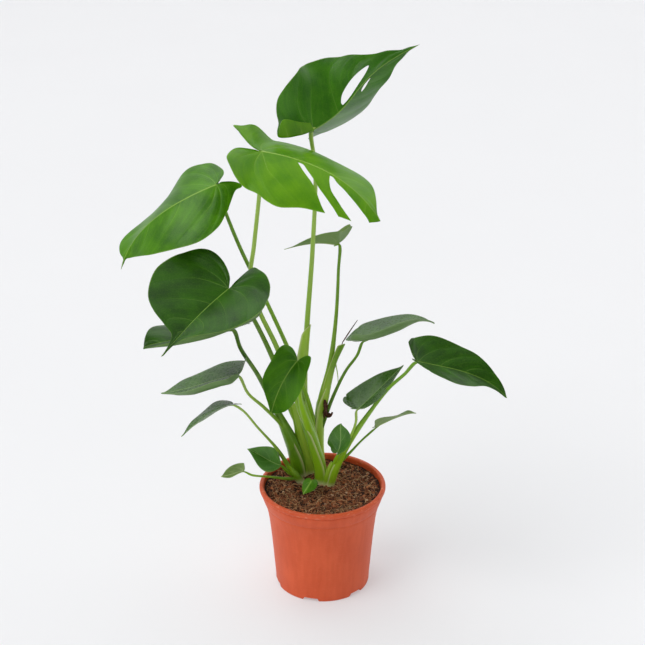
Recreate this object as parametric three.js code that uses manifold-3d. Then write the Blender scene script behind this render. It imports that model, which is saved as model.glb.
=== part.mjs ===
// A young monstera in a terracotta-coloured plastic nursery pot.
// Millimetres, +Z up. The origin is the centre of the pot's underside, on the surface it stands on.
// -Y is the front, +X is to the right.
// The plant is several young plants in one pot: each group of leaf stalks grows from one base,
// and every stalk carries one heart-shaped blade.

import * as THREE from 'three';
import { mergeVertices } from 'three/addons/utils/BufferGeometryUtils.js';
import Module from 'manifold-3d';

const wasm = await Module();
wasm.setup();

// ---- driving dimensions ----

const POT_HEIGHT = 148.3;
const POT_FOOT_RADIUS = 63;
const POT_RIM_RADIUS = 85;
const POT_MOUTH_RADIUS = 77;
const POT_SIDES = 40;
const PAD_RADIUS = 30;                // the middle of the underside, which also stands on the floor
const FLOOR_RISE = 3.5;               // the drained ring of the underside, clear of the floor
const FOOT_NOTCHES = 6;
const FOOT_NOTCH_HEIGHT = 3.5;
const FOOT_NOTCH_WIDTH = 22;
const FOOT_NOTCH_START = -104.5;      // degrees round from +X, the first notch's middle
const DRAIN_HOLES = 8;
const DRAIN_HOLE_RADIUS = 5;
const DRAIN_RING_RADIUS = 45;

const SOIL_TOP = 138;
const SOIL_ROUGHNESS = 1.4;

const CLEARANCE = 0.3;                // left between pieces that touch
const BLADE_THICKNESS = 0.8;
const WINDOW_PLUG = 7;                // thickness of the plugs that cut windows into a blade
const FLAT_LENGTH = 150;              // about a large blade's length, used to lay its windows out flat
const FAN_END = 0.2;                  // rows that meet the margin before this start at the stalk
const MARGIN_STEPS = 40;              // fine steps of a margin for each row
const STEM_SIDES = 8;
const STALK_STEP = 30;                // length of a stalk's straight pieces
const PEG_BOTTOM = 116;               // how deep a stem base stands in the soil
const PEG_TOP = 144;
const STEM_START = 141;

// ---- materials ----

function plain(red, green, blue, roughness) {
  const color = new THREE.Color().setRGB(red, green, blue, THREE.SRGBColorSpace);
  return new THREE.MeshStandardMaterial({ color, roughness, metalness: 0, side: THREE.FrontSide });
}

const potPlastic = plain(0.75, 0.35, 0.23, 0.6);
const pottingSoil = plain(0.27, 0.17, 0.12, 1.0);
const darkLeaf = plain(0.18, 0.32, 0.10, 0.35);
const middleLeaf = plain(0.28, 0.46, 0.13, 0.4);
const brightLeaf = plain(0.40, 0.58, 0.12, 0.4);
const stalkGreen = plain(0.48, 0.63, 0.24, 0.5);
const driedSheath = plain(0.24, 0.13, 0.08, 0.9);

// ---- solids ----

function closedGeometry(positions, triangles) {
  const geometry = new THREE.BufferGeometry();
  geometry.setAttribute('position', new THREE.Float32BufferAttribute(positions, 3));
  geometry.setIndex(triangles);
  return geometry;
}

function solidOf(geometry) {
  const bare = geometry.clone();
  bare.deleteAttribute('normal');
  bare.deleteAttribute('uv');
  const merged = mergeVertices(bare, 1e-4);
  return new wasm.Manifold(new wasm.Mesh({
    numProp: 3,
    vertProperties: new Float32Array(merged.attributes.position.array),
    triVerts: new Uint32Array(merged.index.array),
  }));
}

function geometryOf(solid) {
  const mesh = solid.getMesh();
  return closedGeometry(Array.from(mesh.vertProperties), Array.from(mesh.triVerts));
}

function largestPiece(solid) {
  const pieces = solid.decompose();
  return pieces.reduce((best, piece) => (piece.volume() > best.volume() ? piece : best));
}

// ---- pot ----

// The pot's outside from its middle out and up to the rim, and the inside from the rim down.
const POT_OUTSIDE = [
  [0, 0], [PAD_RADIUS, 0], [PAD_RADIUS + 1.5, FLOOR_RISE], [57, FLOOR_RISE], [58.5, 0],
  [POT_FOOT_RADIUS, 0], [63.6, 1], [65.4, 26], [69, 69], [72.1, 98], [75.9, 118], [78.5, 126],
  [82.4, 137], [84.4, 141.6], [POT_RIM_RADIUS, 144.3], [84.3, 147], [82.4, POT_HEIGHT],
  [79.5, POT_HEIGHT], [POT_MOUTH_RADIUS, 146.5],
];
const POT_INSIDE = [[75.5, SOIL_TOP], [73.9, 116], [70.2, 96], [67.1, 69], [61.6, 8], [60, 6], [0, 6]];

function points2D(pairs) {
  return pairs.map(([radius, height]) => new THREE.Vector2(radius, height));
}

function uprightLathe(profile, sides) {
  return new THREE.LatheGeometry(profile, sides).rotateX(Math.PI / 2);
}

function makePot() {
  let pot = solidOf(uprightLathe(points2D([...POT_OUTSIDE, ...POT_INSIDE]), POT_SIDES));
  for (let i = 0; i < FOOT_NOTCHES; i++) {
    const angle = THREE.MathUtils.degToRad(FOOT_NOTCH_START + (i * 360) / FOOT_NOTCHES);
    const notch = new THREE.BoxGeometry(14, FOOT_NOTCH_WIDTH, FOOT_NOTCH_HEIGHT * 2);
    notch.translate(POT_FOOT_RADIUS, 0, 0);
    notch.rotateZ(angle);
    pot = pot.subtract(solidOf(notch));
  }
  for (let i = 0; i < DRAIN_HOLES; i++) {
    const hole = new THREE.CylinderGeometry(DRAIN_HOLE_RADIUS, DRAIN_HOLE_RADIUS, 12, 16);
    hole.rotateX(Math.PI / 2);
    hole.translate(DRAIN_RING_RADIUS, 0, 4);
    hole.rotateZ(((i + 0.5) * 2 * Math.PI) / DRAIN_HOLES);
    pot = pot.subtract(solidOf(hole));
  }
  return pot;
}

// ---- stems ----

// One tapered round stalk through the route's points. The radii run evenly from its foot to its top.
function stalk(route, radii, sides = STEM_SIDES) {
  const curve = new THREE.CatmullRomCurve3(route.map((point) => new THREE.Vector3(...point)));
  const steps = Math.max(3, Math.round(curve.getLength() / STALK_STEP));
  const frames = curve.computeFrenetFrames(steps, false);
  const positions = [];
  const triangles = [];
  for (let i = 0; i <= steps; i++) {
    const centre = curve.getPointAt(i / steps);
    const place = (i / steps) * (radii.length - 1);
    const before = Math.min(Math.floor(place), radii.length - 2);
    const radius = THREE.MathUtils.lerp(radii[before], radii[before + 1], place - before);
    for (let j = 0; j < sides; j++) {
      const angle = (j / sides) * 2 * Math.PI;
      const point = centre.clone()
        .addScaledVector(frames.normals[i], radius * Math.cos(angle))
        .addScaledVector(frames.binormals[i], radius * Math.sin(angle));
      positions.push(point.x, point.y, point.z);
    }
  }
  for (let i = 0; i < steps; i++) {
    for (let j = 0; j < sides; j++) {
      const a = i * sides + j;
      const b = i * sides + ((j + 1) % sides);
      triangles.push(a, b, a + sides, b, b + sides, a + sides);
    }
  }
  const last = steps * sides;
  for (let j = 1; j < sides - 1; j++) {
    triangles.push(0, j + 1, j);
    triangles.push(last, last + j, last + j + 1);
  }
  return closedGeometry(positions, triangles);
}

function peg([x, y], radius) {
  const geometry = new THREE.CylinderGeometry(radius, radius, PEG_TOP - PEG_BOTTOM, 14);
  geometry.rotateX(Math.PI / 2);
  return geometry.translate(x, y, (PEG_TOP + PEG_BOTTOM) / 2);
}

// ---- blades ----

// A blade is measured flat: `along` is the share of the midrib from the stalk (0) to the tip (1),
// negative in the two lobes behind the stalk, and `across` is millimetres out from the midrib.
const HEART = [
  [0, 0], [-0.13, 0.09], [-0.225, 0.28], [-0.25, 0.52], [-0.16, 0.80], [0.03, 0.97], [0.22, 1],
  [0.46, 0.88], [0.67, 0.60], [0.83, 0.28], [0.92, 0.10], [1, 0],
];

function margin(leaf, side) {
  const half = side > 0 ? 0 : 1;
  if (leaf.margins) return leaf.margins[half];
  return HEART.map(([along, across]) => [
    along < 0 ? along * (leaf.lobe / 0.25) : along,
    across * leaf.width[half],
  ]);
}

function smoothMargin(leaf, side, count) {
  const points = margin(leaf, side).map(([along, across]) => new THREE.Vector2(along, across));
  const curve = new THREE.SplineCurve(points).getPoints(count);
  return curve.map(({ x, y }) => [x, Math.max(y, 0)]);
}

const radians = THREE.MathUtils.degToRad;
const clamp = THREE.MathUtils.clamp;
const UP = new THREE.Vector3(0, 0, 1);

// Where a flat point of the blade lies in space. The midrib is a cubic curve, the lobes carry its
// line on behind the stalk, and each half leaves it at its fold angle and bends on by its cup angle.
function bladePoint(leaf, side, along, across) {
  const half = side > 0 ? 0 : 1;
  const start = new THREE.Vector3(...leaf.at);
  const [near, far, end] = leaf.midrib.map((step) => new THREE.Vector3(...step).add(start));
  const midrib = new THREE.CubicBezierCurve3(start, near, far, end);
  const length = end.distanceTo(start);
  const forward = Math.max(along, 0);
  const point = midrib.getPoint(forward);
  const heading = midrib.getTangent(Math.min(forward, 0.999));
  const normal = UP.clone().addScaledVector(heading, -heading.z).normalize();
  const left = new THREE.Vector3().crossVectors(normal, heading);
  if (along < 0) {
    const behind = -along * length;
    const bend = nonZero(radians(leaf.back) / (Math.max(leaf.lobe, 0.05) * length));
    point.addScaledVector(heading, -Math.sin(bend * behind) / bend);
    point.addScaledVector(normal, (1 - Math.cos(bend * behind)) / bend);
    normal.applyAxisAngle(left, bend * behind);
  }
  const roll = radians(THREE.MathUtils.lerp(leaf.roll[0], leaf.roll[1], forward));
  const [turn, lean] = [Math.cos(roll), Math.sin(roll)];
  const rolledLeft = left.clone().multiplyScalar(turn).addScaledVector(normal, lean);
  const rolledUp = normal.clone().multiplyScalar(turn).addScaledVector(left, -lean);
  const inLobe = clamp(-along / Math.max(leaf.lobe, 0.05), 0, 1);
  const fold = radians(leaf.fold[half] + leaf.lift[half] * inLobe);
  const cup = nonZero(radians(leaf.cup[half]) / leaf.width[half]);
  const out = (Math.sin(fold + cup * across) - Math.sin(fold)) / cup;
  const rise = (Math.cos(fold) - Math.cos(fold + cup * across)) / cup;
  return point.addScaledVector(rolledLeft, side * out).addScaledVector(rolledUp, rise);
}

function nonZero(value) {
  return Math.abs(value) < 1e-7 ? 1e-7 : value;
}

// Where each row of a half meets its margin. The margin's own first point has no row, because it is
// the stalk's. The right half's rows leave the midrib where the left half's do, so that both halves
// share the midrib's points and the blade is one piece.
function rowEnds(leaf, side) {
  const left = smoothMargin(leaf, 1, leaf.rows).slice(1);
  if (side > 0) return left;
  const steps = leaf.rows * MARGIN_STEPS;
  const [leftFine, fine] = [1, -1].map((half) => smoothMargin(leaf, half, steps));
  const [leftTurn, turn] = [leftFine, fine].map((line) => line.findIndex(([along]) => along > FAN_END));
  return left.map(([along], i) => {
    if (along <= FAN_END) return fine[Math.round((i + 1) * MARGIN_STEPS * (turn / leftTurn))];
    const after = fine.findIndex(([reached], k) => k >= turn && reached >= along);
    if (after < 0) return [1, 0];
    const [from, to] = [fine[after - 1], fine[after]];
    const share = (along - from[0]) / (to[0] - from[0]);
    return [along, THREE.MathUtils.lerp(from[1], to[1], share)];
  });
}

// The blade as one sheet of points and triangles. Rows run from the midrib out to the margin,
// and the first rows all start at the stalk, as a heart-shaped leaf's own veins do.
function bladeSheet(leaf, sides = [1, -1]) {
  const points = [];
  const triangles = [];
  const known = new Map();
  const vertex = (side, along, across) => {
    const key = `${along.toFixed(4)} ${(side * across).toFixed(3)}`;
    if (!known.has(key)) {
      known.set(key, points.length);
      points.push(bladePoint(leaf, side, along, across));
    }
    return known.get(key);
  };
  const rows = leaf.rows;
  const columns = leaf.columns;
  for (const side of sides) {
    const grid = rowEnds(leaf, side).map(([along, across]) => {
      const root = clamp((along - FAN_END) / (1 - FAN_END), 0, 1);
      return Array.from({ length: columns + 1 }, (_, j) => {
        const share = j / columns;
        return vertex(side, root + (along - root) * share, across * share);
      });
    });
    for (let i = 0; i < rows - 1; i++) {
      for (let j = 0; j < columns; j++) {
        const [a, b, c, d] = [grid[i][j], grid[i + 1][j], grid[i + 1][j + 1], grid[i][j + 1]];
        for (const face of [[a, b, c], [a, c, d]]) {
          if (new Set(face).size < 3) continue;
          triangles.push(side > 0 ? [face[0], face[1], face[2]] : [face[0], face[2], face[1]]);
        }
      }
    }
  }
  return { points, triangles };
}

// A sheet given thickness: the same triangles on both faces and a wall along its free edge.
// Where the sheet has no directions of its own to thicken in, they come from its triangles.
// `grow` moves the free edge outwards first.
function thicken({ points, triangles, directions }, thickness, grow = 0) {
  const normals = points.map(() => new THREE.Vector3());
  const edges = new Map();
  for (const [a, b, c] of triangles) {
    const face = new THREE.Vector3().subVectors(points[b], points[a])
      .cross(new THREE.Vector3().subVectors(points[c], points[a]));
    [a, b, c].forEach((corner) => normals[corner].add(face));
    [[a, b], [b, c], [c, a]].forEach((edge) => edges.set(edge.join(' '), edge));
  }
  normals.forEach((normal, i) => (directions ? normal.copy(directions[i]) : normal.normalize()));
  const freeEdges = [...edges.values()].filter(([from, to]) => !edges.has(`${to} ${from}`));
  const outwards = points.map(() => new THREE.Vector3());
  for (const [from, to] of freeEdges) {
    const edge = new THREE.Vector3().subVectors(points[to], points[from]);
    [from, to].forEach((end) => outwards[end].add(edge.clone().cross(normals[end])));
  }
  const positions = [];
  for (const direction of [1, -1]) {
    points.forEach((point, i) => {
      const moved = point.clone()
        .addScaledVector(normals[i], (direction * thickness) / 2)
        .addScaledVector(outwards[i].clone().normalize(), grow);
      positions.push(moved.x, moved.y, moved.z);
    });
  }
  const under = points.length;
  const faces = [];
  for (const [a, b, c] of triangles) faces.push(a, b, c, under + a, under + c, under + b);
  for (const [from, to] of freeEdges) {
    faces.push(from, under + from, under + to, from, under + to, to);
  }
  return closedGeometry(positions, faces);
}

// The direction square to the blade, from two short steps on it.
function bladeNormal(leaf, side, along, across) {
  const at = bladePoint(leaf, side, along, across);
  const onward = bladePoint(leaf, side, along + 0.005, across).sub(at);
  const outward = bladePoint(leaf, side, along, across + 0.5).sub(at);
  return onward.cross(outward).multiplyScalar(side).normalize();
}

// A window or slit of a split leaf: its flat outline carried onto the blade as a thick plug.
function windowPlug(leaf, side, outline) {
  const shape = outline.map(([along, across]) => new THREE.Vector2(along, across));
  const scaled = shape.map(({ x, y }) => new THREE.Vector2(x * FLAT_LENGTH, y * side));
  const faces = THREE.ShapeUtils.triangulateShape(scaled, []);
  const points = shape.map(({ x, y }) => bladePoint(leaf, side, x, y));
  const directions = shape.map(({ x, y }) => bladeNormal(leaf, side, x, y));
  const triangles = faces.map(([a, b, c]) => {
    const turn = new THREE.Vector2().subVectors(scaled[b], scaled[a])
      .cross(new THREE.Vector2().subVectors(scaled[c], scaled[a]));
    return turn > 0 ? [a, b, c] : [a, c, b];
  });
  return thicken({ points, triangles, directions }, WINDOW_PLUG);
}

function makeBlade(leaf) {
  let blade = solidOf(thicken(bladeSheet(leaf), BLADE_THICKNESS));
  for (const { side, outline } of leaf.windows ?? []) {
    blade = blade.subtract(solidOf(windowPlug(leaf, side, outline)));
  }
  return largestPiece(blade);
}

// ---- the leaves ----
// at: the top of the stalk. midrib: two handles and the tip, measured from there.
// roll: how far the left half is lifted at the stalk and at the tip. fold, cup, lift and width
// are given for the left half and the right half, looking along the midrib.

const leaves = {
  top: {
    at: [-12, 54, 630], midrib: [[67, 50, 21], [40, 22, 60], [136, 73, 90]],
    roll: [67, 40], fold: [-5, -65], cup: [4, -22], lift: [-25, 20], back: -6,
    width: [73, 76], lobe: 0.2, rows: 20, columns: 4, material: darkLeaf,
    margins: [
      [[0, 0], [-0.08, 2], [-0.13, 5], [-0.19, 10], [-0.24, 18], [-0.17, 27], [-0.15, 38], [-0.12, 49],
        [-0.05, 62], [0.05, 71], [0.21, 75], [0.38, 70], [0.56, 53], [0.68, 35], [0.79, 18], [0.89, 9],
        [0.97, 3], [1, 0]],
      [[0, 0], [-0.04, 9], [-0.05, 22], [0, 36], [0.09, 47], [0.16, 58], [0.26, 72], [0.34, 77],
        [0.43, 68], [0.56, 52], [0.68, 38], [0.79, 27], [0.87, 14], [0.94, 4], [1, 0]],
    ],
    windows: [
      { side: 1, outline: [[0.29, 3], [0.30, 7], [0.36, 12], [0.45, 14.5], [0.55, 15.5], [0.64, 14.5],
        [0.71, 12], [0.66, 7.5], [0.58, 5], [0.46, 3.2], [0.36, 2.6]] },
      { side: -1, outline: [[0.51, 10], [0.52, 6], [0.58, 2.8], [0.66, 2.4], [0.63, 5.5], [0.57, 9]] },
    ],
  },
  arching: {
    at: [-74, -20, 629], midrib: [[75, -17, -7], [117, -31, -33], [144, -59, -68]],
    roll: [5, 0], fold: [-7, -16], cup: [-17, -19], lift: [24, 25], back: 13,
    width: [73, 73], lobe: 0.2, rows: 20, columns: 4, material: brightLeaf,
    margins: [
      [[0, 0], [-0.10, 7], [-0.20, 19], [-0.27, 31], [-0.21, 44], [-0.11, 62], [0, 76], [0.16, 84],
        [0.34, 84], [0.54, 72], [0.68, 50], [0.80, 26], [0.91, 7], [1, 0]],
      [[0, 0], [-0.10, 3], [-0.17, 10], [-0.20, 26], [-0.19, 43], [-0.09, 57], [0.05, 66], [0.14, 74],
        [0.25, 76], [0.42, 64], [0.60, 55], [0.80, 40], [0.93, 26], [0.98, 9], [1, 0]],
    ],
    windows: [
      { side: -1, outline: [[0.22, 4], [0.29, 16], [0.40, 29], [0.47, 38], [0.57, 48], [0.70, 55],
        [0.76, 60], [0.86, 48], [0.70, 41], [0.59, 37], [0.47, 30], [0.40, 23], [0.31, 12],
        [0.26, 4.5]] },
      { side: -1, outline: [[0.46, 3], [0.49, 13], [0.55, 23], [0.66, 29], [0.76, 32], [0.88, 33],
        [0.99, 34], [1.02, 18], [0.95, 13], [0.83, 13], [0.70, 11.5], [0.61, 9], [0.54, 7],
        [0.49, 3]] },
    ],
  },
  long_left: {
    at: [-133, 10, 574], midrib: [[-68, -27, -19], [-113, 15, -72], [-123, -14, -110]],
    roll: [-17, -13], fold: [-19, -8], cup: [-22, -10], lift: [-3, 5], back: -19,
    width: [59, 70], lobe: 0.12, rows: 18, columns: 4, material: middleLeaf,
    margins: [
      [[0, 0], [-0.12, 4], [-0.18, 9.5], [-0.13, 18], [-0.01, 32], [0.13, 51], [0.27, 60], [0.40, 55],
        [0.62, 40], [0.76, 23], [0.90, 5], [1, 0]],
      [[0, 0], [-0.08, 12], [-0.11, 26], [-0.10, 42], [-0.06, 58], [0.03, 69], [0.17, 75], [0.33, 75],
        [0.48, 62], [0.66, 44], [0.80, 30], [0.91, 9], [1, 0]],
    ],
  },
  heart: {
    at: [-116, -70, 467], midrib: [[-35, -45, -13], [-41, -63, -15], [-75, -121, -33]],
    roll: [-4, -9], fold: [18, 17], cup: [-17, 1], lift: [16, 8], back: 13,
    width: [71, 82], lobe: 0.23, rows: 18, columns: 4, material: darkLeaf,
    margins: [
      [[0, 0], [-0.11, 2.5], [-0.21, 7.5], [-0.28, 17], [-0.26, 32], [-0.18, 52], [-0.04, 66], [0.17, 71],
        [0.37, 66], [0.58, 53], [0.70, 36], [0.78, 14], [0.88, 3], [1, 0]],
      [[0, 0], [-0.11, 11], [-0.20, 30], [-0.23, 48], [-0.18, 63], [-0.04, 78], [0.12, 84], [0.30, 82],
        [0.56, 65], [0.69, 46], [0.76, 24], [0.80, 9], [0.89, 3], [1, 0]],
    ],
  },
  under_heart: {
    at: [-115, -20, 389], midrib: [[-40, -23, -2], [-101, -58, 9], [-109, -60, 1]],
    roll: [15, -12], fold: [14, 11], cup: [3, -21], lift: [31, -9], back: -15,
    width: [58, 58], lobe: 0.31, rows: 15, columns: 3, material: darkLeaf,
  },
  mid_left: {
    at: [-109, -35, 330], midrib: [[-34, 8, -10], [-72, 12, -32], [-102, 18, -36]],
    roll: [-2, -8], fold: [9, 8], cup: [-5, -13], lift: [4, 17], back: 11,
    width: [42, 40], lobe: 0.08, rows: 13, columns: 3, material: darkLeaf,
  },
  narrow_left: {
    at: [-115, -50, 295], midrib: [[-20, -10, 2], [-46, -17, -16], [-66, -30, -31]],
    roll: [12, 15], fold: [16, 2], cup: [-1, -7], lift: [-4, 3], back: -10,
    width: [29, 31], lobe: 0.12, rows: 12, columns: 3, material: darkLeaf,
  },
  low_left: {
    at: [-57, 0, 176], midrib: [[-12, 16, -6], [-31, 18, 9], [-45, 25, 11]],
    roll: [-41, -36], fold: [27, 42], cup: [12, 6], lift: [1, 19], back: 16,
    width: [22, 22], lobe: 0.16, rows: 12, columns: 2, material: middleLeaf,
  },
  rim_left: {
    at: [-106, 0, 167], midrib: [[-12, 3, -5], [-24, -2, -8], [-31, 1, -9]],
    roll: [-8, -21], fold: [19, 25], cup: [17, 2], lift: [5, 11], back: 17,
    width: [13, 13], lobe: 0.1, rows: 11, columns: 2, material: middleLeaf,
  },
  sprout: {
    at: [-15, -14, 160], midrib: [[-3, -9, -2], [-8, -13, -7], [-11, -18, -11]],
    roll: [-8, -10], fold: [-7, -7], cup: [-9, -11], lift: [0, 0], back: 0,
    width: [10, 10], lobe: 0.21, rows: 11, columns: 2, material: middleLeaf,
  },
  front: {
    at: [-32, -50, 357], midrib: [[-25, -7, -28], [-32, -27, -54], [-33, -38, -54]],
    roll: [-28, -40], fold: [9, 21], cup: [6, 6], lift: [2, 8], back: 15,
    width: [30, 29], lobe: 0.18, rows: 13, columns: 3, material: brightLeaf,
  },
  upper_right: {
    at: [53, 30, 347], midrib: [[30, 4, 4], [70, 33, 25], [96, 29, 11]],
    roll: [-16, -13], fold: [13, 14], cup: [7, -12], lift: [-9, 10], back: 2,
    width: [41, 40], lobe: 0.2, rows: 13, columns: 3, material: darkLeaf,
  },
  far_right: {
    at: [121, -40, 352], midrib: [[29, 7, -13], [85, -1, -11], [116, -12, -47]],
    roll: [3, 19], fold: [23, 15], cup: [1, -1], lift: [8, 4], back: 16,
    width: [44, 46], lobe: 0.13, rows: 14, columns: 3, material: darkLeaf,
  },
  mid_right: {
    at: [45, -20, 272], midrib: [[6, 2, -1], [41, 23, 32], [62, 41, 44]],
    roll: [-18, -11], fold: [19, 8], cup: [13, 7], lift: [8, 0], back: 7,
    width: [33, 34], lobe: 0.17, rows: 13, columns: 3, material: darkLeaf,
  },
  short_right: {
    at: [21, -10, 202], midrib: [[6, 5, 11], [1, 14, 31], [4, 17, 34]],
    roll: [-15, -8], fold: [10, 21], cup: [0, 5], lift: [0, 8], back: 5,
    width: [18, 18], lobe: 0.12, rows: 12, columns: 2, material: middleLeaf,
  },
  curled_right: {
    at: [71, 20, 223], midrib: [[14, 5, 6], [41, -7, 27], [54, -5, 24]],
    roll: [-40, -5], fold: [16, 14], cup: [-15, 1], lift: [0, 0], back: 17,
    width: [22, 21], lobe: 0.08, rows: 12, columns: 2, material: middleLeaf,
  },
  back: {
    at: [21, 78, 466], midrib: [[-10, -6, -3], [-16, -4, 10], [-71, -14, -3]],
    roll: [25, 18], fold: [31, 22], cup: [4, 0], lift: [12, 17], back: -7,
    width: [32, 31], lobe: 0.34, rows: 13, columns: 3, material: darkLeaf,
  },
};

// ---- the stems ----
// Each base stands in the soil at `foot` and carries its stalks. A stalk's route ends at the blade
// that it carries; one without a blade is a sheath, the pointed wing at the side of a stalk.

const stems = {
  left: {
    foot: [-30, 41], radius: 10,
    stalks: [
      { radii: [10, 9.4, 5, 3.2, 2.8, 2.5], blade: 'under_heart',
        route: [[-30, 41, STEM_START], [-34, 38, 165], [-43, 34, 196], [-59, 27, 239], [-85, 11, 306],
          [-106, -6, 353]] },
      { radii: [5, 4.4, 3.4, 2.8, 2.4], blade: 'heart',
        route: [[-29, 42, 165], [-30, 42, 205], [-43, 37, 244], [-65, 18, 326], [-87, -2, 390],
          [-97, -25, 420]] },
      { radii: [3, 2.3, 1.8], blade: 'mid_left',
        route: [[-40, 36, 182], [-54, 26, 221], [-77, 6, 260], [-97, -18, 294]] },
    ],
  },
  middle: {
    foot: [-1, 20], radius: 8,
    stalks: [
      { radii: [8, 7.6, 4, 3.3, 3, 2.8, 2.6, 2.5], blade: 'arching',
        route: [[-1, 20, STEM_START], [-3, 20, 162], [-11, 18, 195], [-28, 15, 250], [-59, 11, 345],
          [-84, 8, 407], [-92, 0, 450], [-86, -12, 502], [-77, -19, 585]] },
      { radii: [6, 3, 2.2], blade: 'front', route: [[-17, 17, 218], [-29, -10, 280], [-30, -33, 325]] },
    ],
  },
  tall: {
    foot: [-16, 56], radius: 6,
    stalks: [
      { radii: [6, 5, 4, 3.4, 3, 2.7, 2.6], blade: 'top',
        route: [[-16, 56, STEM_START], [-21, 56, 175], [-26, 54, 239], [-25, 52, 285], [-20, 50, 368],
          [-13, 51, 467], [-9, 56, 576]] },
      { radii: [2.6, 3.4, 0.9], route: [[-25, 51, 297], [-28, 49, 330], [-26, 48, 362]] },
    ],
  },
  back: {
    foot: [-3, 50], radius: 7.5,
    stalks: [
      { radii: [7.5, 6.6, 5.2, 3, 2.2, 2], blade: 'back',
        route: [[-3, 50, STEM_START], [-6, 49, 178], [-2, 49, 242], [10, 51, 299], [18, 57, 370],
          [21, 69, 431]] },
      { radii: [3.4, 3, 2.7, 2.5, 2.2], blade: 'long_left',
        route: [[-6, 48, 170], [-15, 41, 234], [-36, 30, 310], [-69, 21, 399], [-105, 15, 486],
          [-124, 11, 542]] },
      { radii: [3, 2.4, 2, 1.8], blade: 'upper_right',
        route: [[-2, 47, 205], [14, 42, 257], [31, 37, 299], [46, 32, 325]] },
      { radii: [5, 4.3, 0.9], route: [[3, 48, 265], [14, 47, 308], [25, 49, 356]] },
    ],
  },
  right: {
    foot: [10, 11], radius: 4.8,
    stalks: [
      { radii: [4.8, 5.6, 4, 2.6, 2.3, 2.1], blade: 'far_right',
        route: [[10, 11, STEM_START], [16, 8, 167], [30, 2, 201], [56, -8, 251], [86, -21, 303],
          [106, -31, 329]] },
      { radii: [3, 2, 1.7, 1.6], blade: 'mid_right',
        route: [[20, 5, 176], [25, 3, 192], [37, -5, 222], [44, -12, 248]] },
      { radii: [2.6, 1.6], blade: 'short_right', route: [[15, 8, 168], [18, 0, 183]] },
      { radii: [2.6, 1.5, 1.4], blade: 'curled_right',
        route: [[18, 8, 170], [36, 11, 188], [53, 15, 206]] },
    ],
  },
  seedling_left: {
    foot: [-31, 20], radius: 4.6,
    stalks: [
      { radii: [4.6, 3, 1.8, 1.6, 1.5], blade: 'narrow_left',
        route: [[-31, 20, STEM_START], [-45, 16, 164], [-61, 4, 199], [-85, -18, 243],
          [-103, -38, 279]] },
      { radii: [3, 1.6], blade: 'low_left', route: [[-34, 18, 147], [-44, 13, 156]] },
      { radii: [2.6, 1.5, 1.4], blade: 'rim_left',
        route: [[-33, 17, 146], [-46, 12, 148], [-71, 5, 155], [-95, 1, 160]] },
    ],
  },
  seedling_front: {
    foot: [-12, -4], radius: 1.6,
    stalks: [
      { radii: [1.6, 1.3], blade: 'sprout', route: [[-12, -4, STEM_START], [-13, -9, 152]] },
    ],
  },
};

// A stalk stops just short of the point where its blade begins.
function stalkEnd(from, at) {
  const end = new THREE.Vector3(...at);
  const back = new THREE.Vector3(...from).sub(end).setLength(2 * CLEARANCE);
  return end.add(back).toArray();
}

// The room a blade takes, with its clearance, as its left half and its right half.
function bladeRoom(leaf) {
  const halves = [1, -1].map((side) => bladeSheet(leaf, [side]));
  return halves.map((half) => solidOf(thicken(half, BLADE_THICKNESS + 2 * CLEARANCE, 2 * CLEARANCE)));
}

function makeStem({ foot, radius, stalks }) {
  let stem = solidOf(peg(foot, radius));
  for (const { route, radii, blade } of stalks) {
    const points = blade ? [...route, stalkEnd(route.at(-1), leaves[blade].at)] : route;
    stem = stem.add(solidOf(stalk(points, radii)));
  }
  for (const { blade } of stalks.filter((each) => each.blade)) {
    for (const room of bladeRoom(leaves[blade])) stem = stem.subtract(room);
  }
  return largestPiece(stem);
}

// ---- soil ----

// The top is uneven: a few waves of different lengths, level at the wall.
function soilHeight(x, y) {
  const humps = Math.sin(x * 0.21 + 1.3) * Math.cos(y * 0.17);
  const ridges = Math.sin(x * 0.09 - y * 0.31 + 0.4);
  return SOIL_TOP + SOIL_ROUGHNESS * (0.5 * humps + 0.3 * ridges);
}

// The soil fills the pot's inside, so its outline is the inside's own, drawn in by the clearance.
function makeSoil() {
  const walls = POT_INSIDE.slice(0, -2).map(([radius, height]) => [radius - CLEARANCE, height]);
  const rings = [0, 19, 38, 56, 70].map((radius) => [radius, SOIL_TOP]);
  const floor = POT_INSIDE.slice(-2).map(([radius, height]) => [radius, height + CLEARANCE]);
  const profile = points2D([...floor.reverse(), ...walls.reverse(), ...rings.reverse()]);
  const geometry = uprightLathe(profile, POT_SIDES);
  const position = geometry.attributes.position;
  for (let i = 0; i < position.count; i++) {
    const [x, y, z] = [position.getX(i), position.getY(i), position.getZ(i)];
    const onTop = z > SOIL_TOP - 0.01 && Math.hypot(x, y) < POT_INSIDE[0][0] - 1;
    if (onTop) position.setZ(i, soilHeight(x, y));
  }
  let soil = solidOf(geometry);
  for (const { foot, radius } of Object.values(stems)) {
    const hole = peg(foot, radius + CLEARANCE);
    hole.translate(0, 0, -CLEARANCE);
    soil = soil.subtract(solidOf(hole));
  }
  return soil;
}

// ---- the plant in its pot ----

const plant = new THREE.Group();

function addPiece(name, solid, material) {
  const mesh = new THREE.Mesh(geometryOf(solid), material);
  mesh.name = name;
  plant.add(mesh);
}

addPiece('pot', makePot(), potPlastic);
addPiece('soil', makeSoil(), pottingSoil);

for (const [name, leaf] of Object.entries(leaves)) {
  addPiece(`blade_${name}`, makeBlade(leaf), leaf.material);
}
for (const [name, stem] of Object.entries(stems)) {
  addPiece(`stem_${name}`, makeStem(stem), stalkGreen);
}

// A dried brown sheath that hangs in the fork between two stalks.
const scrapRoute = [[4, 41, 252], [4, 40.2, 241], [4.5, 39.3, 230], [12, 39.3, 227]];
addPiece('dried_sheath', solidOf(stalk(scrapRoute, [1.2, 2.4, 2.2, 1], 6)), driedSheath);

export default plant;
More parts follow.
